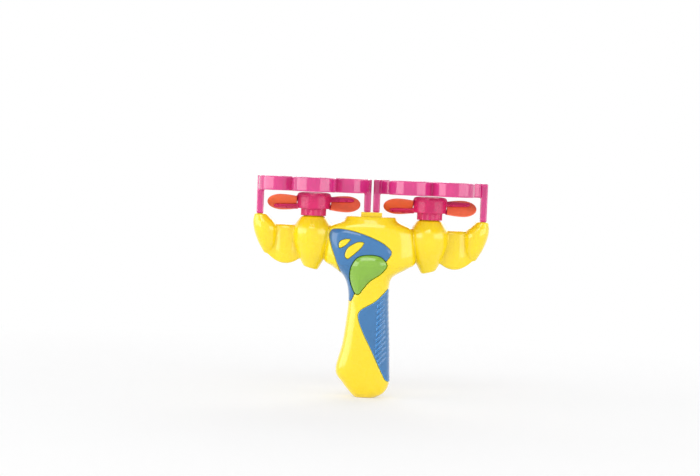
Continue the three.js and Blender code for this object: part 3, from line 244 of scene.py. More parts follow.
def loft(rings):
    """A closed mesh over rings of points, with flat ends."""
    rings = np.asarray(rings, float)
    rows, count = rings.shape[:2]
    a = np.arange((rows - 1) * count)
    b = a - a % count + (a + 1) % count
    quads = np.stack([a, b, b + count, a + count], 1)
    points = np.concatenate([rings.reshape(-1, 3), rings[0].mean(0)[None], rings[-1].mean(0)[None]])
    j = np.arange(count)
    k = (j + 1) % count
    last = (rows - 1) * count
    low = np.stack([np.full(count, rows * count), k, j], 1)
    high = np.stack([np.full(count, rows * count + 1), last + j, last + k], 1)
    return points, np.concatenate([low, high]), quads


def turned(profile, x, sides=96):
    """A closed mesh turned about an upright axis, from radius and height."""
    turn = np.linspace(0, 2 * math.pi, sides, endpoint=False)
    return loft([np.stack([x + r * np.cos(turn), r * np.sin(turn), np.full(sides, z)], 1)
                 for r, z in profile])


def squared_ellipse(sides, power):
    """Points of a unit ellipse, squarer the higher the power. Power 2 makes it round."""
    turn = np.linspace(0, 2 * math.pi, sides, endpoint=False)
    c, s = np.cos(turn), np.sin(turn)
    return np.sign(c) * np.abs(c) ** (2 / power), np.sign(s) * np.abs(s) ** (2 / power)


def bezier(places, steps):
    """Points of a cubic or quadratic curve, without the first."""
    shares = np.linspace(0, 1, steps + 1)[1:, None]
    rows = [np.repeat(np.array(p, float)[None], steps, 0) for p in places]
    while len(rows) > 1:
        rows = [a + (b - a) * shares for a, b in zip(rows, rows[1:])]
    return [tuple(p) for p in rows[0]]


def hermite(b, c, rise, fall, share):
    """A place between b and c, with the slopes there given."""
    square, cube = share ** 2, share ** 3
    return ((2 * cube - 3 * square + 1) * b + (cube - 2 * square + share) * rise
            + (3 * square - 2 * cube) * c + (cube - square) * fall)


def even_spline(places, steps):
    """A smooth curve through places, with the same number of steps from each to the next."""
    p = np.array(places, float)
    last = len(p) - 1
    points = []
    for i in range(last):
        a, b, c, d = (p[min(max(k, 0), last)] for k in (i - 1, i, i + 1, i + 2))
        points += [hermite(b, c, (c - a) / 2, (d - b) / 2, s / steps) for s in range(steps)]
    return np.array(points + [p[last]])


def round_spline(places, steps):
    """A smooth closed curve through places that doesn't overshoot on short parts."""
    p = np.array(places, float)
    count = len(p)
    points = []
    for i in range(count):
        a, b, c, d = (p[(i + k) % count] for k in (-1, 0, 1, 2))
        ta, tb, tc = (math.sqrt(np.linalg.norm(v - u)) for u, v in ((a, b), (b, c), (c, d)))
        rise = ((b - a) / ta - (c - a) / (ta + tb) + (c - b) / tb) * tb
        fall = ((c - b) / tb - (d - b) / (tb + tc) + (d - c) / tc) * tb
        points += [hermite(b, c, rise, fall, s / steps) for s in range(steps)]
    return np.array(points)


def grip_outline():
    """The grip's edge in front, closed well outside the handle's right side."""
    edge = even_spline(GRIP_PLACES, 8)
    first, last = np.array(GRIP_PLACES[0]), np.array(GRIP_PLACES[-1])
    return np.concatenate([[first + (40, 5)], edge, [last + (40, -1)]])


panel_outline = round_spline(PANEL_PLACES, 8)
button_outline = round_spline(BUTTON_PLACES, 10)
leaf_outlines = [round_spline(places, 8) for places in LEAVES]
grip_edge = grip_outline()


# The case surface

def body_mesh():
    c, s = squared_ellipse(112, BODY_POWER)
    rows = even_spline(BODY_STATIONS, 10)
    return loft([np.stack([c * np.where(c < 0, left, right), s * depth, np.full(len(c), z)], 1)
                 for z, left, right, depth in rows])


def pod_mesh(side):
    wide, narrow, brim = POD_RADIUS, POD_FOOT_RADIUS, POD_TOP_RADIUS
    profile = [(narrow - 1.5, POD_FOOT - 3), (narrow, POD_FOOT)]
    waist, top = (wide, POD_WAIST), (brim, POD_TOP)
    profile += bezier([profile[-1], (narrow + 5.4, POD_FOOT + 9.5), (wide, POD_FOOT + 22), waist], 30)
    profile += bezier([waist, (wide, POD_WAIST + 6.5), (brim + 2.9, POD_TOP - 4.5), top], 16)
    return turned(profile, side * HEAD_X)


def lobe_mesh(side):
    c, s = squared_ellipse(96, 2)
    rings = []
    for drop, inward, wide, deep in even_spline(LOBE_STATIONS, 8):
        x = side * (HEAD_X + POST_X - inward)
        rings.append(np.stack([x + c * wide, s * deep, np.full(len(c), LOBE_TOP - drop)], 1))
    return loft(rings)


def web_mesh(side):
    c, s = squared_ellipse(64, 4)
    rings = []
    for share in np.linspace(0, 1, 30):
        away = (share - WEB_MIDDLE) ** 2
        low = WEB_LOW + WEB_SAG * away
        middle, half = (low + WEB_TOP) / 2, (WEB_TOP - low) / 2
        depth = max(WEB_DEPTH - WEB_BULGE * away, WEB_LEAST)
        x = side * (HEAD_X + (LOBE_X - HEAD_X) * share)
        rings.append(np.stack([np.full(len(c), x), side * c * depth, middle + s * half], 1))
    return loft(rings)


whole = Space((-123, -27, -4), (123, 27, 191), 0.75 * COARSE)


def pod_field(space, side):
    """An acorn with its foot cut on a slant."""
    slant = math.radians(POD_FOOT_SLANT)
    rise = (space.z - POD_FOOT) * math.cos(slant) - side * (space.x - side * HEAD_X) * math.sin(slant)
    return soft_max(space.of_mesh(pod_mesh(side), REACH), -rise, 0.8)


def case_field(space):
    """The outer surface, with rounded edges, and creases where its forms meet."""
    field = space.of_mesh(body_mesh(), REACH)
    for side in (-1, 1):
        field = soft_min(field, pod_field(space, side), 1.6)
        field = soft_min(field, space.of_mesh(web_mesh(side), REACH), 1.2)
        field = soft_min(field, space.of_mesh(lobe_mesh(side), REACH), 1.2)
    inset = 1.0  # drawn in by this and grown again, outer edges come out rounded
    field = space.of_mesh(space.mesh_of(field, -inset), REACH) - inset
    half = PLATFORM_DEPTH / 2
    stand = space.block(-PLATFORM_HALF, PLATFORM_HALF, -half, half, PLATFORM_FOOT, PLATFORM_TOP, 0.8)
    return soft_min(field, stand, 1.0)


case = case_field(whole)
case_mesh = whole.mesh_of(case)


def case_in(space, reach=REACH):
    """The same surface, sampled over another box."""
    return space.of_mesh(case_mesh, reach)


# Meshes and objects

def without_crumbs(mesh):
    """The mesh's largest piece, without the bits left where shapes were cut."""
    points = np.asarray(mesh[0])
    faces = [np.asarray(part, int).reshape(-1, corners) for part, corners in zip(mesh[1:], (3, 4))]
    pairs = np.concatenate([f[:, (0, k)] for f in faces for k in range(1, f.shape[1])])
    every = np.arange(len(points))
    label = every
    while len(pairs):
        joined = every.copy()
        np.minimum.at(joined, pairs.max(1), pairs.min(1))
        joined = joined[joined]
        label, pairs = joined[label], joined[pairs]
        pairs = pairs[pairs[:, 0] != pairs[:, 1]]
    kept = label == np.bincount(label).argmax()
    place = np.cumsum(kept) - 1
    return points[kept], *(place[f[kept[f[:, 0]]]] for f in faces)


def make(name, mesh, faces=None):
    """A smooth-shaded object from a mesh in mm, thinned to about the given number of triangles."""
    points, triangles, quads = without_crumbs(mesh)
    data = bpy.data.meshes.new(name)
    corners = np.concatenate([triangles.ravel(), quads.ravel()]).astype(np.int32)
    sizes = np.concatenate([np.full(len(triangles), 3), np.full(len(quads), 4)]).astype(np.int32)
    data.vertices.add(len(points))
    data.vertices.foreach_set("co", (points * MM).astype(np.float32).ravel())
    data.loops.add(len(corners))
    data.loops.foreach_set("vertex_index", corners)
    data.polygons.add(len(sizes))
    data.polygons.foreach_set("loop_start", (np.cumsum(sizes) - sizes).astype(np.int32))
    data.polygons.foreach_set("loop_total", sizes)
    data.update(calc_edges=True)
    data.validate()
    obj = bpy.data.objects.new(name, data)
    bpy.context.scene.collection.objects.link(obj)
    outward(data)
    count = len(triangles) + 2 * len(quads)
    if faces and count > faces:
        thin = obj.modifiers.new("thin", "DECIMATE")
        thin.ratio = faces / count
        settle(obj)
    obj.data.polygons.foreach_set("use_smooth", np.ones(len(obj.data.polygons), bool))
    return obj


def outward(data):
    """Turns the faces over if they look inwards."""
    data.calc_loop_triangles()
    points = np.empty(len(data.vertices) * 3, np.float32)
    data.vertices.foreach_get("co", points)
    corners = np.empty(len(data.loop_triangles) * 3, np.int32)
    data.loop_triangles.foreach_get("vertices", corners)
    a, b, c = points.reshape(-1, 3)[corners.reshape(-1, 3)].astype(float).transpose(1, 0, 2)
    if np.einsum("ij,ij->i", a, np.cross(b, c)).sum() < 0:
        data.flip_normals()


def settle(obj):
    """Makes the modifiers' result the object's own mesh."""
    shown = obj.evaluated_get(bpy.context.evaluated_depsgraph_get())
    made = bpy.data.meshes.new_from_object(shown)
    obj.modifiers.clear()
    obj.data = made
    made.name = obj.name


def stand_for(obj, body, slot, material, *nodes):
    """Puts a finished piece on its body, in place of the solids named."""
    obj.data.materials.clear()
    obj.data.materials.append(material)
    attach(obj, body)
    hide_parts(*nodes)


# Materials

def linear(colour):
    """Linear values of a colour written as it shows."""
    return tuple(v / 12.92 if v <= 0.04045 else ((v + 0.055) / 1.055) ** 2.4 for v in colour)


def shade(colour, factor):
    return tuple(min(1.0, v * factor) for v in linear(colour)) + (1.0,)


def new_material(name):
    material = bpy.data.materials.new(name)
    material.use_nodes = True
    tree = material.node_tree
    return material, tree, tree.nodes["Principled BSDF"]


def noise(tree, scale, detail, coordinates):
    node = tree.nodes.new("ShaderNodeTexNoise")
    node.inputs["Scale"].default_value = scale
    node.inputs["Detail"].default_value = detail
    tree.links.new(coordinates, node.inputs["Vector"])
    return node.outputs["Fac"]


def spread(tree, value, low, high, start=0.3, end=0.7):
    """From low to high, while the value goes from start to end."""
    node = tree.nodes.new("ShaderNodeMapRange")
    node.inputs["From Min"].default_value = start
    node.inputs["From Max"].default_value = end
    node.inputs["To Min"].default_value = low
    node.inputs["To Max"].default_value = high
    tree.links.new(value, node.inputs["Value"])
    return node.outputs["Result"]


def maths(tree, operation, *values):
    node = tree.nodes.new("ShaderNodeMath")
    node.operation = operation
    for socket, value in zip(node.inputs, values):
        tree.links.new(value, socket)
    return node.outputs["Value"]


def height_of(tree, vector):
    """The z of a vector."""
    node = tree.nodes.new("ShaderNodeSeparateXYZ")
    tree.links.new(vector, node.inputs["Vector"])
    return node.outputs["Z"]


def mix(tree, value, a, b):
    """Colour a where the value is 0, and b where it is 1."""
    node = tree.nodes.new("ShaderNodeMix")
    node.data_type = "RGBA"
    tree.links.new(value, node.inputs["Factor"])
    for socket, source in ((node.inputs[6], a), (node.inputs[7], b)):
        if isinstance(source, tuple):
            socket.default_value = source
        else:
            tree.links.new(source, socket)
    return node.outputs[2]


def moulded(name, colour, roughness, tone=0.06, grain=0.06, flow=22.0, edge=0.0, pale=1.35, crease=None,
            stretch=(1, 1, 1)):
    """Moulded plastic: slow changes of tone from the melt's flow, fine skin grain, and if wanted a painted
    highlight that makes convex edges paler and painted shade that makes creases darker."""
    material, tree, shader = new_material(name)
    place = tree.nodes.new("ShaderNodeTexCoord").outputs["Object"]
    along = tree.nodes.new("ShaderNodeMapping")
    along.inputs["Scale"].default_value = stretch
    tree.links.new(place, along.inputs["Vector"])
    place = along.outputs["Vector"]
    slow = spread(tree, noise(tree, flow, 4, place), 0, 1)
    base = mix(tree, slow, shade(colour, 1 - tone), shade(colour, 1 + tone))
    if edge or crease:
        bend = tree.nodes.new("ShaderNodeNewGeometry").outputs["Pointiness"]
        # painted highlight: convex edges, found by pointiness, mixed toward a paler copy of the colour by the
        # factor pale
        base = mix(tree, spread(tree, bend, 0, edge, 0.51, 0.56), base, shade(colour, pale))
    if crease:
        # painted shade: concave creases, found by pointiness, mixed toward the darker crease colour
        base = mix(tree, spread(tree, bend, 0.5, 0, 0.42, 0.48), base, shade(crease, 1.0))
    tree.links.new(base, shader.inputs["Base Color"])
    streaks = noise(tree, 160, 5, place)
    tree.links.new(spread(tree, streaks, roughness - 0.07, roughness + 0.07), shader.inputs["Roughness"])
    bump = tree.nodes.new("ShaderNodeBump")
    bump.inputs["Strength"].default_value = grain
    bump.inputs["Distance"].default_value = 0.0003
    tree.links.new(noise(tree, 1600, 3, place), bump.inputs["Height"])
    tree.links.new(bump.outputs["Normal"], shader.inputs["Normal"])
    return material, tree, shader


def gloss(shader, weight, roughness):
    """A clear, polished skin, in place of the plastic's own duller shine."""
    shader.inputs["Coat Weight"].default_value = weight
    shader.inputs["Coat Roughness"].default_value = roughness
    shader.inputs["Specular IOR Level"].default_value = 0.25


def clear_tinted(name, colour, through, roughness, skin):
    """Half-clear tinted plastic."""
    material, _, shader = moulded(name, colour, roughness, tone=0.1, grain=0.02, flow=30)
    shader.inputs["Transmission Weight"].default_value = through
    shader.inputs["IOR"].default_value = 1.49
    gloss(shader, skin, 0.05)
    return material


def plastic(name, colour, roughness, skin=None, **detail):
    """Moulded plastic, with a polished skin of some weight and roughness if wanted."""
    material, _, shader = moulded(name, colour, roughness, **detail)
    if skin:
        gloss(shader, *skin)
    return material


def rubber(name, colour, roughness, **detail):
    """Soft plastic that lets a little light in."""
    material, _, shader = moulded(name, colour, roughness, **detail)
    shader.inputs["Subsurface Weight"].default_value = 0.15
    shader.inputs["Subsurface Radius"].default_value = (0.003, 0.001, 0.0005)
    return material


def metal(name, colour, roughness, stretch):
    """Drawn or plated metal with fine lines along one way."""
    material, _, shader = moulded(name, colour, roughness, tone=0.12, grain=0.12, flow=240, stretch=stretch)
    shader.inputs["Metallic"].default_value = 1.0
    return material


BLUE = (0.21, 0.46, 0.68)
# yellow: edges painted a little paler as a highlight, creases painted darker gold as shade
yellow = plastic("yellow_gloss", (0.985, 0.865, 0.05), 0.27, (1.0, 0.06), tone=0.02, grain=0.02, edge=0.2,
                 crease=(0.8, 0.58, 0.1))
pink = clear_tinted("pink_half_clear", (0.93, 0.235, 0.59), 0.35, 0.12, 1.0)
rose = clear_tinted("rose_half_clear", (0.92, 0.16, 0.465), 0.25, 0.3, 0.25)
orange = rubber("orange_soft", (0.97, 0.44, 0.28), 0.48, tone=0.08, grain=0.3, flow=60)
blue = plastic("blue_gloss", BLUE, 0.32, (1.0, 0.07), tone=0.05, grain=0.05)
# ribs: ridges painted strongly paler as a highlight, standing in for the light they catch
rib_blue_highlit = plastic("blue_ribs_highlit", BLUE, 0.32, (1.0, 0.07), tone=0.05, grain=0.05, edge=1.0, pale=2.4)
# green: edges painted a little paler as a highlight
green = plastic("green_gloss", (0.53, 0.73, 0.23), 0.2, (1.0, 0.04), tone=0.04, grain=0.02, edge=0.2)
steel = metal("bright_steel", (0.74, 0.75, 0.77), 0.3, (1, 1, 0.05))
can_metal = metal("motor_can", (0.7, 0.71, 0.73), 0.34, (1, 1, 0.04))
nylon = plastic("white_nylon", (0.92, 0.9, 0.84), 0.5, tone=0.04, grain=0.1)
dark = plastic("dark_plastic", (0.14, 0.14, 0.15), 0.45, tone=0.15, grain=0.15)
red_wire = plastic("red_wire", (0.75, 0.14, 0.14), 0.42, tone=0.12, grain=0.1)
black_wire = plastic("black_wire", (0.1, 0.1, 0.11), 0.42, tone=0.2, grain=0.1)


def cell_sleeve():
    """Film sleeve with a plain copper-coloured band, and bare metal at both ends."""
    material, tree, shader = moulded("cell_sleeve", (0.16, 0.17, 0.2), 0.28, tone=0.12, grain=0.05)
    up = height_of(tree, tree.nodes.new("ShaderNodeTexCoord").outputs["Generated"])
    base = shader.inputs["Base Color"].links[0].from_socket
    base = mix(tree, spread(tree, up, 0, 1, 0.7, 0.705), base, shade((0.72, 0.45, 0.25), 1.0))
    facing = height_of(tree, tree.nodes.new("ShaderNodeNewGeometry").outputs["Normal"])
    bare = spread(tree, maths(tree, "ABSOLUTE", facing), 0, 1, 0.6, 0.8)
    tree.links.new(mix(tree, bare, base, shade((0.75, 0.76, 0.78), 1.0)), shader.inputs["Base Color"])
    tree.links.new(bare, shader.inputs["Metallic"])
    return material


# Shells

def tenon(space, x, floor, margin):
    """The peg under a ring's post, or the room for it."""
    half, wide = POST_RADIAL / 2 - TENON_INSET + margin, POST_WIDTH / 2 - TENON_INSET + margin
    return space.block(x - half, x + half, -wide, wide, floor - TENON_DEPTH - margin, floor + FAR)


def sockets():
    """Where the four posts stand."""
    for side in (-1, 1):
        yield side * (HEAD_X + POST_X), LOBE_TOP
        yield side * (HEAD_X - POST_X), PLATFORM_TOP


def cut(field, hole, rounding=0.4):
    """Takes a hole out, with rounded edges."""
    return soft_max(field, -hole, rounding)


def inlay_recess(space, field, outline, edge):
    """The room for an inlay in the case surface."""
    recess = np.maximum(space.outline(outline) - FIT, -(field + INLAY_DEPTH + FIT))
    return np.maximum(recess, space.y - edge - FIT)


def hollow_case(space, field):
    """Both shells as one hollow case, with sockets, bosses and motor cradles inside."""
    shell = np.maximum(field, -(field + WALL))
    inner = field + WALL / 2
    for side in (-1, 1):
        x = side * HEAD_X
        for top in (MOTOR_BOTTOM - FIT, MOTOR_TOP - CRADLE_DROP):
            low = top - CRADLE_PLATE
            plate = space.block(x - POD_RADIUS, x + POD_RADIUS, -POD_RADIUS, POD_RADIUS, low, top)
            shell = np.minimum(shell, np.maximum(plate, inner))
        can = np.maximum(space.rod_z(x, 0, MOTOR_RADIUS + FIT, MOTOR_BOTTOM + 1, MOTOR_TOP),
                         np.abs(space.y) - MOTOR_FLAT - FIT)
        shell = np.maximum(shell, -can)
    for x, z, _ in SCREWS:
        shell = np.minimum(shell, np.maximum(space.rod_y(x, z, BOSS_RADIUS, -FAR, FAR), inner))
    for x, floor in sockets():
        shell = np.minimum(shell, np.maximum(tenon(space, x, floor, FIT + SOCKET_WALL), inner))
        shell = cut(shell, tenon(space, x, floor, FIT))
    for side in (-1, 1):
        x = side * HEAD_X
        collar = space.rod_z(x, 0, COLLAR_RADIUS, POD_TOP - COLLAR_ROOT, POD_TOP + COLLAR_RISE)
        shell = soft_min(shell, collar, 0.6)
        shell = np.maximum(shell, -space.rod_z(x, 0, BUSH_RADIUS + FIT, BUSH_BOTTOM, BUSH_TOP))
    for x, z, seat in SCREWS:
        shell = cut(shell, space.rod_y(x, z, SCREW_HEAD + FIT, seat, FAR))
        end = seat - SCREW_LENGTH - FIT
        shell = np.maximum(shell, -space.rod_y(x, z, SCREW_SHANK + FIT, end, seat + 1))
    return shell


def tub(space, margin):
    """The battery tub and the stalk above it, as solid blocks."""
    half = TUB_HALF + margin
    low, high = BAY_BOTTOM - TUB_WALL - margin, BAY_TOP + TUB_WALL + margin
    box = space.block(-half, half, TUB_FRONT - margin, FAR, low, high)
    half = STALK_HALF + margin
    return np.minimum(box, space.block(-half, half, STALK_FRONT - margin, FAR, BAY_TOP, DOOR_TOP))


def bay(space):
    """The room for cells and contacts, open to the back."""
    low, high = BAY_BOTTOM + PLATE_SLOT, BAY_TOP - PLATE_SLOT
    half = CELL_X + GROOVE
    lap = 0.1
    room = space.block(-half, half, CELL_Y, FAR, low - lap, high + lap)
    for side in (-1, 1):
        room = np.minimum(room, space.rod_z(side * CELL_X, CELL_Y, GROOVE, low - lap, high + lap))
    front = CELL_Y - PLATE_DROP - FIT
    room = np.minimum(room, space.block(-half, half, front, FAR, BAY_BOTTOM, low))
    room = np.minimum(room, space.block(-half, half, front, FAR, high, BAY_TOP))
    for side in (-1, 1):
        left, right = side * CELL_X - TAB_HALF, side * CELL_X + TAB_HALF
        back = front + TAB_THICKNESS
        room = np.minimum(room, space.block(left, right, front, back, BAY_TOP - 1, BAY_TOP + TAB_RISE))
    return room


def build_shells():
    space = whole
    shell = hollow_case(space, case)
    grip_recess = inlay_recess(space, case, grip_edge, GRIP_EDGE)
    panel_recess = inlay_recess(space, case, panel_outline, PANEL_EDGE)
    leaves = None
    for outline in leaf_outlines:
        leaf = soft_max(space.outline(outline), case - LEAF_PROUD, 0.8)
        leaf = np.maximum(np.maximum(leaf, -(case + WALL)), space.y)
        leaves = leaf if leaves is None else np.minimum(leaves, leaf)
        panel_recess = np.maximum(panel_recess, -space.outline(outline))
    button_hole = np.maximum(space.outline(button_outline) - BUTTON_PLAY, space.y + WALL)

    front = cut(cut(shell, panel_recess), grip_recess)
    front = cut(np.minimum(front, leaves), button_hole)
    front = np.maximum(front, -tub(space, FIT))
    front = soft_max(front, space.y + FIT / 2, 0.7)
    front_shell = make("front_moulding", space.mesh_of(front), 150_000)
    stand_for(front_shell, "case", "yellow_case", yellow, "front_shell")

    rear = np.minimum(shell, np.maximum(tub(space, 0), case + WALL / 2))
    rear = np.maximum(cut(rear, grip_recess), -bay(space))
    half = DOOR_HALF + FIT
    rear = cut(rear, space.block(-half, half, DOOR_SEAT, FAR, DOOR_BOTTOM - FIT, DOOR_TOP + FIT))
    half, low = TONGUE_HALF + FIT, DOOR_BOTTOM - TONGUE_DROP - FIT
    before, behind = DOOR_SEAT - TONGUE_SWING, DOOR_SEAT + TONGUE_THICKNESS + 2 * FIT
    rear = np.maximum(rear, -space.block(-half, half, before, behind, low, BAY_BOTTOM))
    rear = np.maximum(rear, -space.rod_y(0, DOOR_SCREW_Z, SCREW_SHANK + 2 * FIT, DOOR_SCREW_END - FIT, FAR))
    rear = soft_max(rear, FIT / 2 - space.y, 0.7)
    rear_shell = make("rear_moulding", space.mesh_of(rear), 150_000)
    stand_for(rear_shell, "case", "yellow_case", yellow, "rear_shell")


def build_door():
    space = Space((-19, 8, 12), (19, 27, 140), 0.5 * COARSE)
    field = case_in(space)
    front = DOOR_SEAT + FIT
    lid = space.block(-DOOR_HALF, DOOR_HALF, front, FAR, DOOR_BOTTOM, DOOR_TOP)
    door = soft_max(field, lid, 0.8)
    half = DOOR_HALF - DOOR_SIDE
    hollow = space.block(-half, half, 0, FAR, DOOR_BOTTOM + DOOR_LEDGE, BAY_TOP)
    door = np.maximum(door, -np.maximum(hollow, field + DOOR_WALL))
    tongue = space.block(-TONGUE_HALF, TONGUE_HALF, front, front + TONGUE_THICKNESS,
                         DOOR_BOTTOM - TONGUE_DROP, DOOR_BOTTOM + 1, 0.4)
    door = np.minimum(door, tongue)
    door = cut(door, space.rod_y(0, DOOR_SCREW_Z, SCREW_HEAD + FIT, DOOR_WELL, FAR))
    door = np.maximum(door, -space.rod_y(0, DOOR_SCREW_Z, SCREW_SHANK + FIT, 0, FAR))
    obj = make("battery_lid", space.mesh_of(door), 60_000)
    stand_for(obj, "door", "yellow_case", yellow, "battery_door")


# Inlays and button

def build_panel():
    space = Space((-44, -26, 92), (25, 0, 171), 0.4 * COARSE)
    field = case_in(space, 5)
    within = space.outline(panel_outline)
    fall = 1 - np.clip(-within / PANEL_ROUND, 0, 1)
    proud = INLAY_PROUD + PANEL_CROWN - PANEL_FALL * fall ** 2
    panel = soft_max(within, field - proud, 0.7)
    panel = soft_max(panel, BUTTON_PLAY - space.outline(button_outline), 0.7)
    for outline in leaf_outlines:
        panel = soft_max(panel, FIT - space.outline(outline), 0.5)
    panel = np.maximum(np.maximum(panel, -(field + INLAY_DEPTH)), space.y - PANEL_EDGE)
    obj = make("blue_panel", space.mesh_of(panel), 60_000)
    stand_for(obj, "case", "blue_inlay", blue, "front_panel")


def build_grip():
    space = Space((-13, -21, 14), (29, 11, 116), 0.4 * COARSE)
    field = case_in(space, 5)
    plank = np.maximum(space.outline(grip_edge), space.y - GRIP_EDGE)
    grip = soft_max(plank, field - INLAY_PROUD, 0.7)
    slope = math.tan(math.radians(RIB_SLANT))
    lean = math.cos(math.radians(RIB_SLANT))
    rise = (space.z - RIB_FIRST - RIB_WIDTH / 2 - (space.x - RIB_START) * slope) * lean
    pitch = RIB_PITCH * lean
    number = np.clip(np.round(rise / pitch), 0, RIB_COUNT - 1)
    ribs = np.maximum(np.abs(rise - number * pitch) - RIB_WIDTH / 2, RIB_START - space.x)
    proud = np.interp(space.x, [RIB_FALL - RIB_RUN, RIB_FALL + RIB_RUN], [RIB_PROUD, RIB_SIDE])
    ribs = soft_max(soft_max(ribs, field - proud, 0.8), plank + 0.5, 0.5)
    grip = soft_min(grip, ribs, 0.5)
    grip = np.maximum(grip, -(field + INLAY_DEPTH))
    obj = make("blue_grip", space.mesh_of(grip), 80_000)
    stand_for(obj, "case", "blue_inlay", rib_blue_highlit, "side_grip")


def build_button():
    space = Space((-24, -28, 98), (21, -8, 147), 0.4 * COARSE)
    field = case_in(space, 5)
    within = space.outline(button_outline)
    fall = 1 - np.clip(-within / BUTTON_ROUND, 0, 1)
    proud = BUTTON_PROUD + BUTTON_CROWN - BUTTON_FALL * fall ** 2
    cap = soft_max(soft_max(within, field - proud, 1.2), space.y - FLANGE_EDGE, 0.3)
    seat = WALL + FIT
    flange = np.maximum(np.maximum(within - FLANGE_MARGIN, field + seat), space.y - FLANGE_EDGE)
    cap = np.minimum(cap, flange)
    cap = np.maximum(cap, -(field + seat + FLANGE_THICKNESS))
    hollow = np.maximum(within + BUTTON_WALL, field + BUTTON_WALL - proud)
    cap = np.maximum(cap, -hollow)
    stem = space.rod_y(SWITCH_X, SWITCH_Z, STEM_RADIUS, -FAR, STEM_END)
    cap = soft_min(cap, np.maximum(stem, field - proud + 0.5), 0.6)
    obj = make("green_button", space.mesh_of(cap), 60_000)
    stand_for(obj, "button", "green_button", green, "power_button")


# Heads

def ring_mesh():
    """The left ring: five loops side by side, with a post on either side."""
    space = Space((-HEAD_X - 60, -60, 168), (4, 60, 221), 0.55 * COARSE)
    x, y = space.x + HEAD_X, space.y
    middle = (RING_RADIUS - LOOP_WALL / 2) / (1 + math.sin(math.pi / LOOP_COUNT))
    radius = middle * math.sin(math.pi / LOOP_COUNT)
    level = np.abs(space.z - (RING_TOP + RING_BOTTOM) / 2) - RING_HEIGHT / 2
    loops = bores = None
    for i in range(LOOP_COUNT):
        turn = -math.pi / 2 + 2 * math.pi * i / LOOP_COUNT
        across, deep = x - middle * math.cos(turn), y - middle * math.sin(turn)
        away = np.hypot(across, deep)
        bore = away - radius + LOOP_WALL / 2
        ribs = LOOP_RIB * (1 + np.cos(LOOP_RIBS * np.arctan2(deep, across))) / 2
        loop = np.maximum(bore - LOOP_WALL, -bore + LOOP_RIB - ribs)
        loops = loop if loops is None else soft_min(loops, loop, 1.5)
        bores = bore if bores is None else np.minimum(bores, bore)
    ring = soft_max(loops, level, 0.9)
    for post_x, floor in ((-POST_X, LOBE_TOP), (POST_X, PLATFORM_TOP)):
        slim = np.interp(space.z, [floor, RING_BOTTOM - POST_TAPER_END], [POST_TAPER / 2, 0])
        far_x = np.abs(x - post_x) - POST_RADIAL / 2 + slim + POST_CORNER
        far_y = np.abs(y) - POST_WIDTH / 2 + slim + POST_CORNER
        outside = np.hypot(np.maximum(far_x, 0), np.maximum(far_y, 0))
        post = outside + np.minimum(np.maximum(far_x, far_y), 0) - POST_CORNER
        post = np.maximum(post, floor + FIT - space.z)
        post = soft_max(post, space.z - RING_TOP, 0.9)
        post = np.maximum(post, np.where(space.z > RING_BOTTOM - 1, -bores, -FAR))
        ring = soft_min(ring, post, 1.5)
        peg = tenon(space, post_x - HEAD_X, floor, 0)
        ring = np.minimum(ring, np.maximum(peg, space.z - floor - 1))
    return space.mesh_of(ring)


def blade_place(out, along, off):
    """A place on the pitched blade: out from the axis, along the chord, off the face."""
    c, s = math.cos(math.radians(BLADE_PITCH)), math.sin(math.radians(BLADE_PITCH))
    return np.stack([out, along * c - off * s, BLADE_HEIGHT + along * s + off * c], -1)


def chord_share(along):
    """How wide the blade is, as a share of its widest, along it from 0 to 1."""
    swell = np.sin(math.pi / 2 * np.minimum(along / BLADE_WIDEST, 1))
    rise = BLADE_ROOT_SHARE + (1 - BLADE_ROOT_SHARE) * swell
    fall = np.sqrt(np.maximum(1 - (np.maximum(along - BLADE_WIDEST, 0) / (1 - BLADE_WIDEST)) ** 2, 0))
    return rise * fall


def blade_mesh(turn):
    """One soft blade: a flat oval with round edges, a little fuller along its middle."""
    c, s = squared_ellipse(56, 3)
    root, start = HUB_RADIUS * BLADE_INNER, HUB_RADIUS + BLADE_GAP
    first = (start - root) / (BLADE_TIP - root)
    last = 0.9995  # just short of the tip, where there is no width left
    rings = []
    for share in np.sin(np.linspace(0, math.pi / 2, 48)):
        along = first + (last - first) * share
        out = np.full(len(c), root + (BLADE_TIP - root) * along)
        chord = c * chord_share(np.array(along)) * BLADE_CHORD / 2
        thick = s * BLADE_THICKNESS / 2 * min(1.0, 0.25 + 3 * math.sqrt(max(1 - along, 0)))
        rings.append(blade_place(out, chord, thick))
    points, triangles, quads = loft(rings)
    return spun(points, turn), triangles, quads


def spun(points, turn):
    """Points turned about the upright axis."""
    c, s = math.cos(turn), math.sin(turn)
    x, y, z = points.T
    return np.stack([x * c - y * s, x * s + y * c, z], 1)


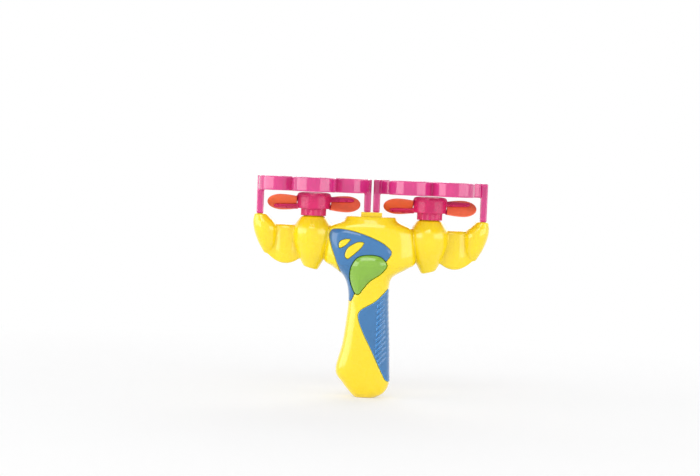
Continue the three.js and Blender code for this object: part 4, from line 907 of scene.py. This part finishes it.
def hub_mesh():
    """The hub with its skirt, and the pairs of prongs that hold the blades."""
    space = Space((-43, -19, 177), (43, 19, 207), 0.4 * COARSE)
    dome = [(HUB_RADIUS * math.cos(t) ** DOME, HUB_RIM + (HUB_TOP - HUB_RIM) * math.sin(t) ** DOME)
            for t in np.linspace(0, math.pi / 2 - 0.06, 24)]
    outer = turned([(SKIRT_RADIUS, SKIRT_FOOT), (SKIRT_RADIUS, HUB_BASE), (HUB_RADIUS, HUB_BASE)] + dome, 0)
    hub = space.of_mesh(outer, 5)
    away = np.hypot(space.x, space.y)
    bead = np.hypot(away - HUB_RADIUS + BEAD_SINK, space.z - HUB_RIM) - BEAD_RADIUS
    hub = soft_min(hub, bead, 0.8)
    flutes = FLUTE_DEPTH / 2 * (1 + np.cos(SKIRT_FLUTES * np.arctan2(space.y, space.x)))
    hub = np.where(space.z < HUB_BASE, np.maximum(hub, away - SKIRT_RADIUS + flutes), hub)
    room = np.maximum(np.maximum(away - HUB_RADIUS + HUB_WALL, HUB_BASE + HUB_WALL - space.z),
                      space.z - HUB_TOP + HUB_WALL + 1.5 * (away / HUB_RADIUS) ** 4)
    room = np.minimum(room, np.maximum(away - SKIRT_RADIUS + HUB_WALL, space.z - HUB_BASE - HUB_WALL - 0.5))
    core = np.maximum(away - SHAFT_HOLE - HUB_WALL, HUB_BASE - space.z)
    hub = np.maximum(hub, -np.maximum(room, -core))
    hub = np.maximum(hub, -np.maximum(away - SHAFT_HOLE, space.z - SHAFT_TOP))
    c, s = math.cos(math.radians(BLADE_PITCH)), math.sin(math.radians(BLADE_PITCH))
    for way in (1, -1):
        out, y, z = space.x * way, space.y * way, space.z - BLADE_HEIGHT
        along, off = y * c + z * s, -y * s + z * c
        for face in (1, -1):
            share = np.interp(out, [HUB_RADIUS, ARM_REACH - 3, ARM_REACH], [1, 0.75, 0.45])
            wide = np.abs(along - face * ARM_OFFSET) - share * ARM_WIDTH / 2
            thin = np.abs(off - face * (BLADE_THICKNESS / 2 + FIT + ARM_THICKNESS / 2)) - ARM_THICKNESS / 2
            arm = soft_max(soft_max(wide, thin, 1.0), np.maximum(out - ARM_REACH, HUB_RADIUS - 1 - out), 1.0)
            hub = soft_min(hub, arm, 1.2)
    return space.mesh_of(hub)


def moved(mesh, x=0.0, half_turn=False):
    """A copy turned about the middle, or shifted along x."""
    points, triangles, quads = mesh
    if half_turn:
        points = points * (-1, -1, 1)
    return points + (x, 0, 0), triangles, quads


def build_heads():
    ring, hub = ring_mesh(), hub_mesh()
    for side, label in ((-1, "left"), (1, "right")):
        obj = make(f"{label}_flower_ring", moved(ring, half_turn=side > 0), 110_000)
        stand_for(obj, "case", "pink_clear", pink, f"{label}_bubble_ring")
        obj = make(f"{label}_hub_moulding", moved(hub, side * HEAD_X), 60_000)
        stand_for(obj, f"{label}_fan", "pink_clear", rose, f"{label}_fan_hub")
        for number, turn in ((1, 0), (2, math.pi)):
            obj = make(f"{label}_soft_blade_{number}", moved(blade_mesh(turn), side * HEAD_X))
            stand_for(obj, f"{label}_fan", "orange_soft", orange, f"{label}_fan_blade_{number}")


# Springs

def coil_mesh(height, radius, wire, turns):
    """An unbroken coil standing on z = 0."""
    steps, sides = 40 * turns, 14
    share = np.linspace(0, 1, steps + 1)
    turn = 2 * math.pi * turns * share
    rise = height - 2 * wire
    centre = np.stack([radius * np.cos(turn), radius * np.sin(turn), wire + rise * share], 1)
    out = np.stack([np.cos(turn), np.sin(turn), np.zeros_like(turn)], 1)
    way = np.gradient(centre, axis=0)
    way /= np.linalg.norm(way, axis=1)[:, None]
    up = np.cross(way, out)
    around = np.linspace(0, 2 * math.pi, sides, endpoint=False)
    return loft([c + wire * (np.cos(around)[:, None] * o + np.sin(around)[:, None] * u)
                 for c, o, u in zip(centre, out, up)])


def build_springs():
    low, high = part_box("button_spring")
    length = (high.y - low.y) / MM
    points, triangles, quads = coil_mesh(length, **RETURN_COIL)
    x, y, z = points.T
    points = np.stack([SWITCH_X + x, high.y / MM - z, SWITCH_Z + y], 1)
    obj = make("return_coil", (points, triangles, quads))
    stand_for(obj, "case", "bright_steel", steel, "button_spring")
    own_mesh(obj)
    for node, label in (("bridge_spring", "bridge_coil"), ("negative_spring", "negative_coil")):
        low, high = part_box(node)
        points, triangles, quads = coil_mesh((high.z - low.z) / MM, **CELL_COIL)
        shift = np.array([math.copysign(CELL_X, low.x + high.x), CELL_Y, low.z / MM])
        stand_for(make(label, (points + shift, triangles, quads)), "case", "bright_steel", steel, node)


# Carried-over nodes

def dress_nodes():
    """Finishes the solids that show as they are."""
    looks = {  # the first that is part of a node's name
        "_screw": steel, "screw_": steel, "_contact": steel, "motor_shaft": steel,
        "motor_can": can_metal, "motor_end_cap": nylon, "push_switch": dark, "switch_plunger": nylon,
        "wire_return": black_wire, "wire_": red_wire, "battery_": cell_sleeve(),
    }
    for name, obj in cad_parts.items():
        if obj.hide_render:
            continue
        look = next(material for key, material in looks.items() if key in name)
        obj.data.materials.clear()
        obj.data.materials.append(look)
        soften = obj.modifiers.new("soft_edges", "BEVEL")
        soften.width = 0.12 * MM
        soften.segments = 2
        soften.limit_method = "ANGLE"
        soften.angle_limit = math.radians(35)


build_shells()
build_door()
build_panel()
build_grip()
build_button()
build_heads()
build_springs()
dress_nodes()


# Studio

def build_stage():
    """A pale floor that curves up all round and fades to white away from the part."""
    turn = np.linspace(0, 2 * math.pi, 72, endpoint=False)
    flat, curve = 2.6, 0.9
    profile = [(0.02, 0), (0.6, 0), (1.8, 0), (flat, 0)]
    profile += [(flat + curve * math.sin(t), curve - curve * math.cos(t))
                for t in np.linspace(0.1, math.pi / 2, 14)]
    profile += [(flat + curve, 1.6), (flat + curve, 2.6)]
    rings = [np.stack([r * np.cos(turn), r * np.sin(turn), np.full(len(turn), z)], 1) for r, z in profile]
    points, triangles, quads = loft(rings)
    bowl = make("studio_floor", (points / MM, triangles[:len(turn)], quads))
    material, tree, shader = new_material("studio_paper")
    place = tree.nodes.new("ShaderNodeTexCoord").outputs["Object"]
    tone = spread(tree, noise(tree, 3, 2, place), 0, 1)
    paper = mix(tree, tone, (0.95, 0.95, 0.95, 1), (0.97, 0.97, 0.97, 1))
    tree.links.new(paper, shader.inputs["Base Color"])
    shader.inputs["Roughness"].default_value = 0.9
    far = tree.nodes.new("ShaderNodeVectorMath")
    far.operation = "LENGTH"
    tree.links.new(place, far.inputs[0])
    fade = spread(tree, far.outputs["Value"], 0.4, 1, 0.1, 0.8)
    ray = tree.nodes.new("ShaderNodeLightPath")
    seen = ray.outputs["Is Camera Ray"]
    for kind in ("Is Glossy Ray", "Is Transmission Ray"):
        seen = maths(tree, "MAXIMUM", seen, ray.outputs[kind])
    white = tree.nodes.new("ShaderNodeEmission")
    blend = tree.nodes.new("ShaderNodeMixShader")
    tree.links.new(maths(tree, "MULTIPLY", seen, fade), blend.inputs["Fac"])
    tree.links.new(shader.outputs["BSDF"], blend.inputs[1])
    tree.links.new(white.outputs["Emission"], blend.inputs[2])
    tree.links.new(blend.outputs["Shader"], tree.nodes["Material Output"].inputs["Surface"])
    bowl.data.materials.append(material)


def softbox(name, turn, distance, height, size, power):
    """A soft rectangular light round the part, turned from the front to the right, aimed at its middle."""
    light = bpy.data.lights.new(name, "AREA")
    light.shape = "RECTANGLE"
    light.size, light.size_y = size
    light.energy = power
    obj = bpy.data.objects.new(name, light)
    bpy.context.scene.collection.objects.link(obj)
    turn = math.radians(turn)
    obj.location = (distance * math.sin(turn), -distance * math.cos(turn), height)
    obj.rotation_euler = (Vector((0, 0, 0.12)) - obj.location).to_track_quat("-Z", "Y").to_euler()


def build_studio():
    build_stage()
    softbox("left_box", -68, 1.9, 0.45, (2.2, 1.2), 21.5)
    softbox("right_box", 58, 1.9, 0.45, (2.0, 1.2), 15)
    softbox("front_box", -10, 1.6, 1.8, (1.2, 0.8), 11)
    softbox("back_box", 170, 1.6, 1.1, (2.0, 1.2), 15)
    world = bpy.data.worlds.new("studio")
    world.use_nodes = True
    sky = world.node_tree.nodes["Background"]
    sky.inputs["Color"].default_value = (0.97, 0.98, 1.0, 1)
    sky.inputs["Strength"].default_value = 0.37
    bpy.context.scene.world = world
    bpy.context.scene.view_settings.view_transform = "Standard"


def build_camera():
    """The photograph's view: from the front, a little above, and rolled a little."""
    distance, elevation, roll = 2.0, math.radians(2.0), math.radians(2.3)
    sensor, field = 36, 0.7  # width of the sensor in mm, and of what it sees at that distance in metres
    target = Vector((-20.6, 0, 158.7)) * MM
    back = Vector((0, -math.cos(elevation), math.sin(elevation)))
    data = bpy.data.cameras.new("camera")
    data.sensor_width = sensor
    data.lens = sensor * distance / field
    camera = bpy.data.objects.new("camera", data)
    bpy.context.scene.collection.objects.link(camera)
    camera.location = target + back * distance
    camera.rotation_mode = "QUATERNION"
    camera.rotation_quaternion = (-back).to_track_quat("-Z", "Y") @ Quaternion((0, 0, 1), roll)
    bpy.context.scene.camera = camera


build_studio()
build_camera()
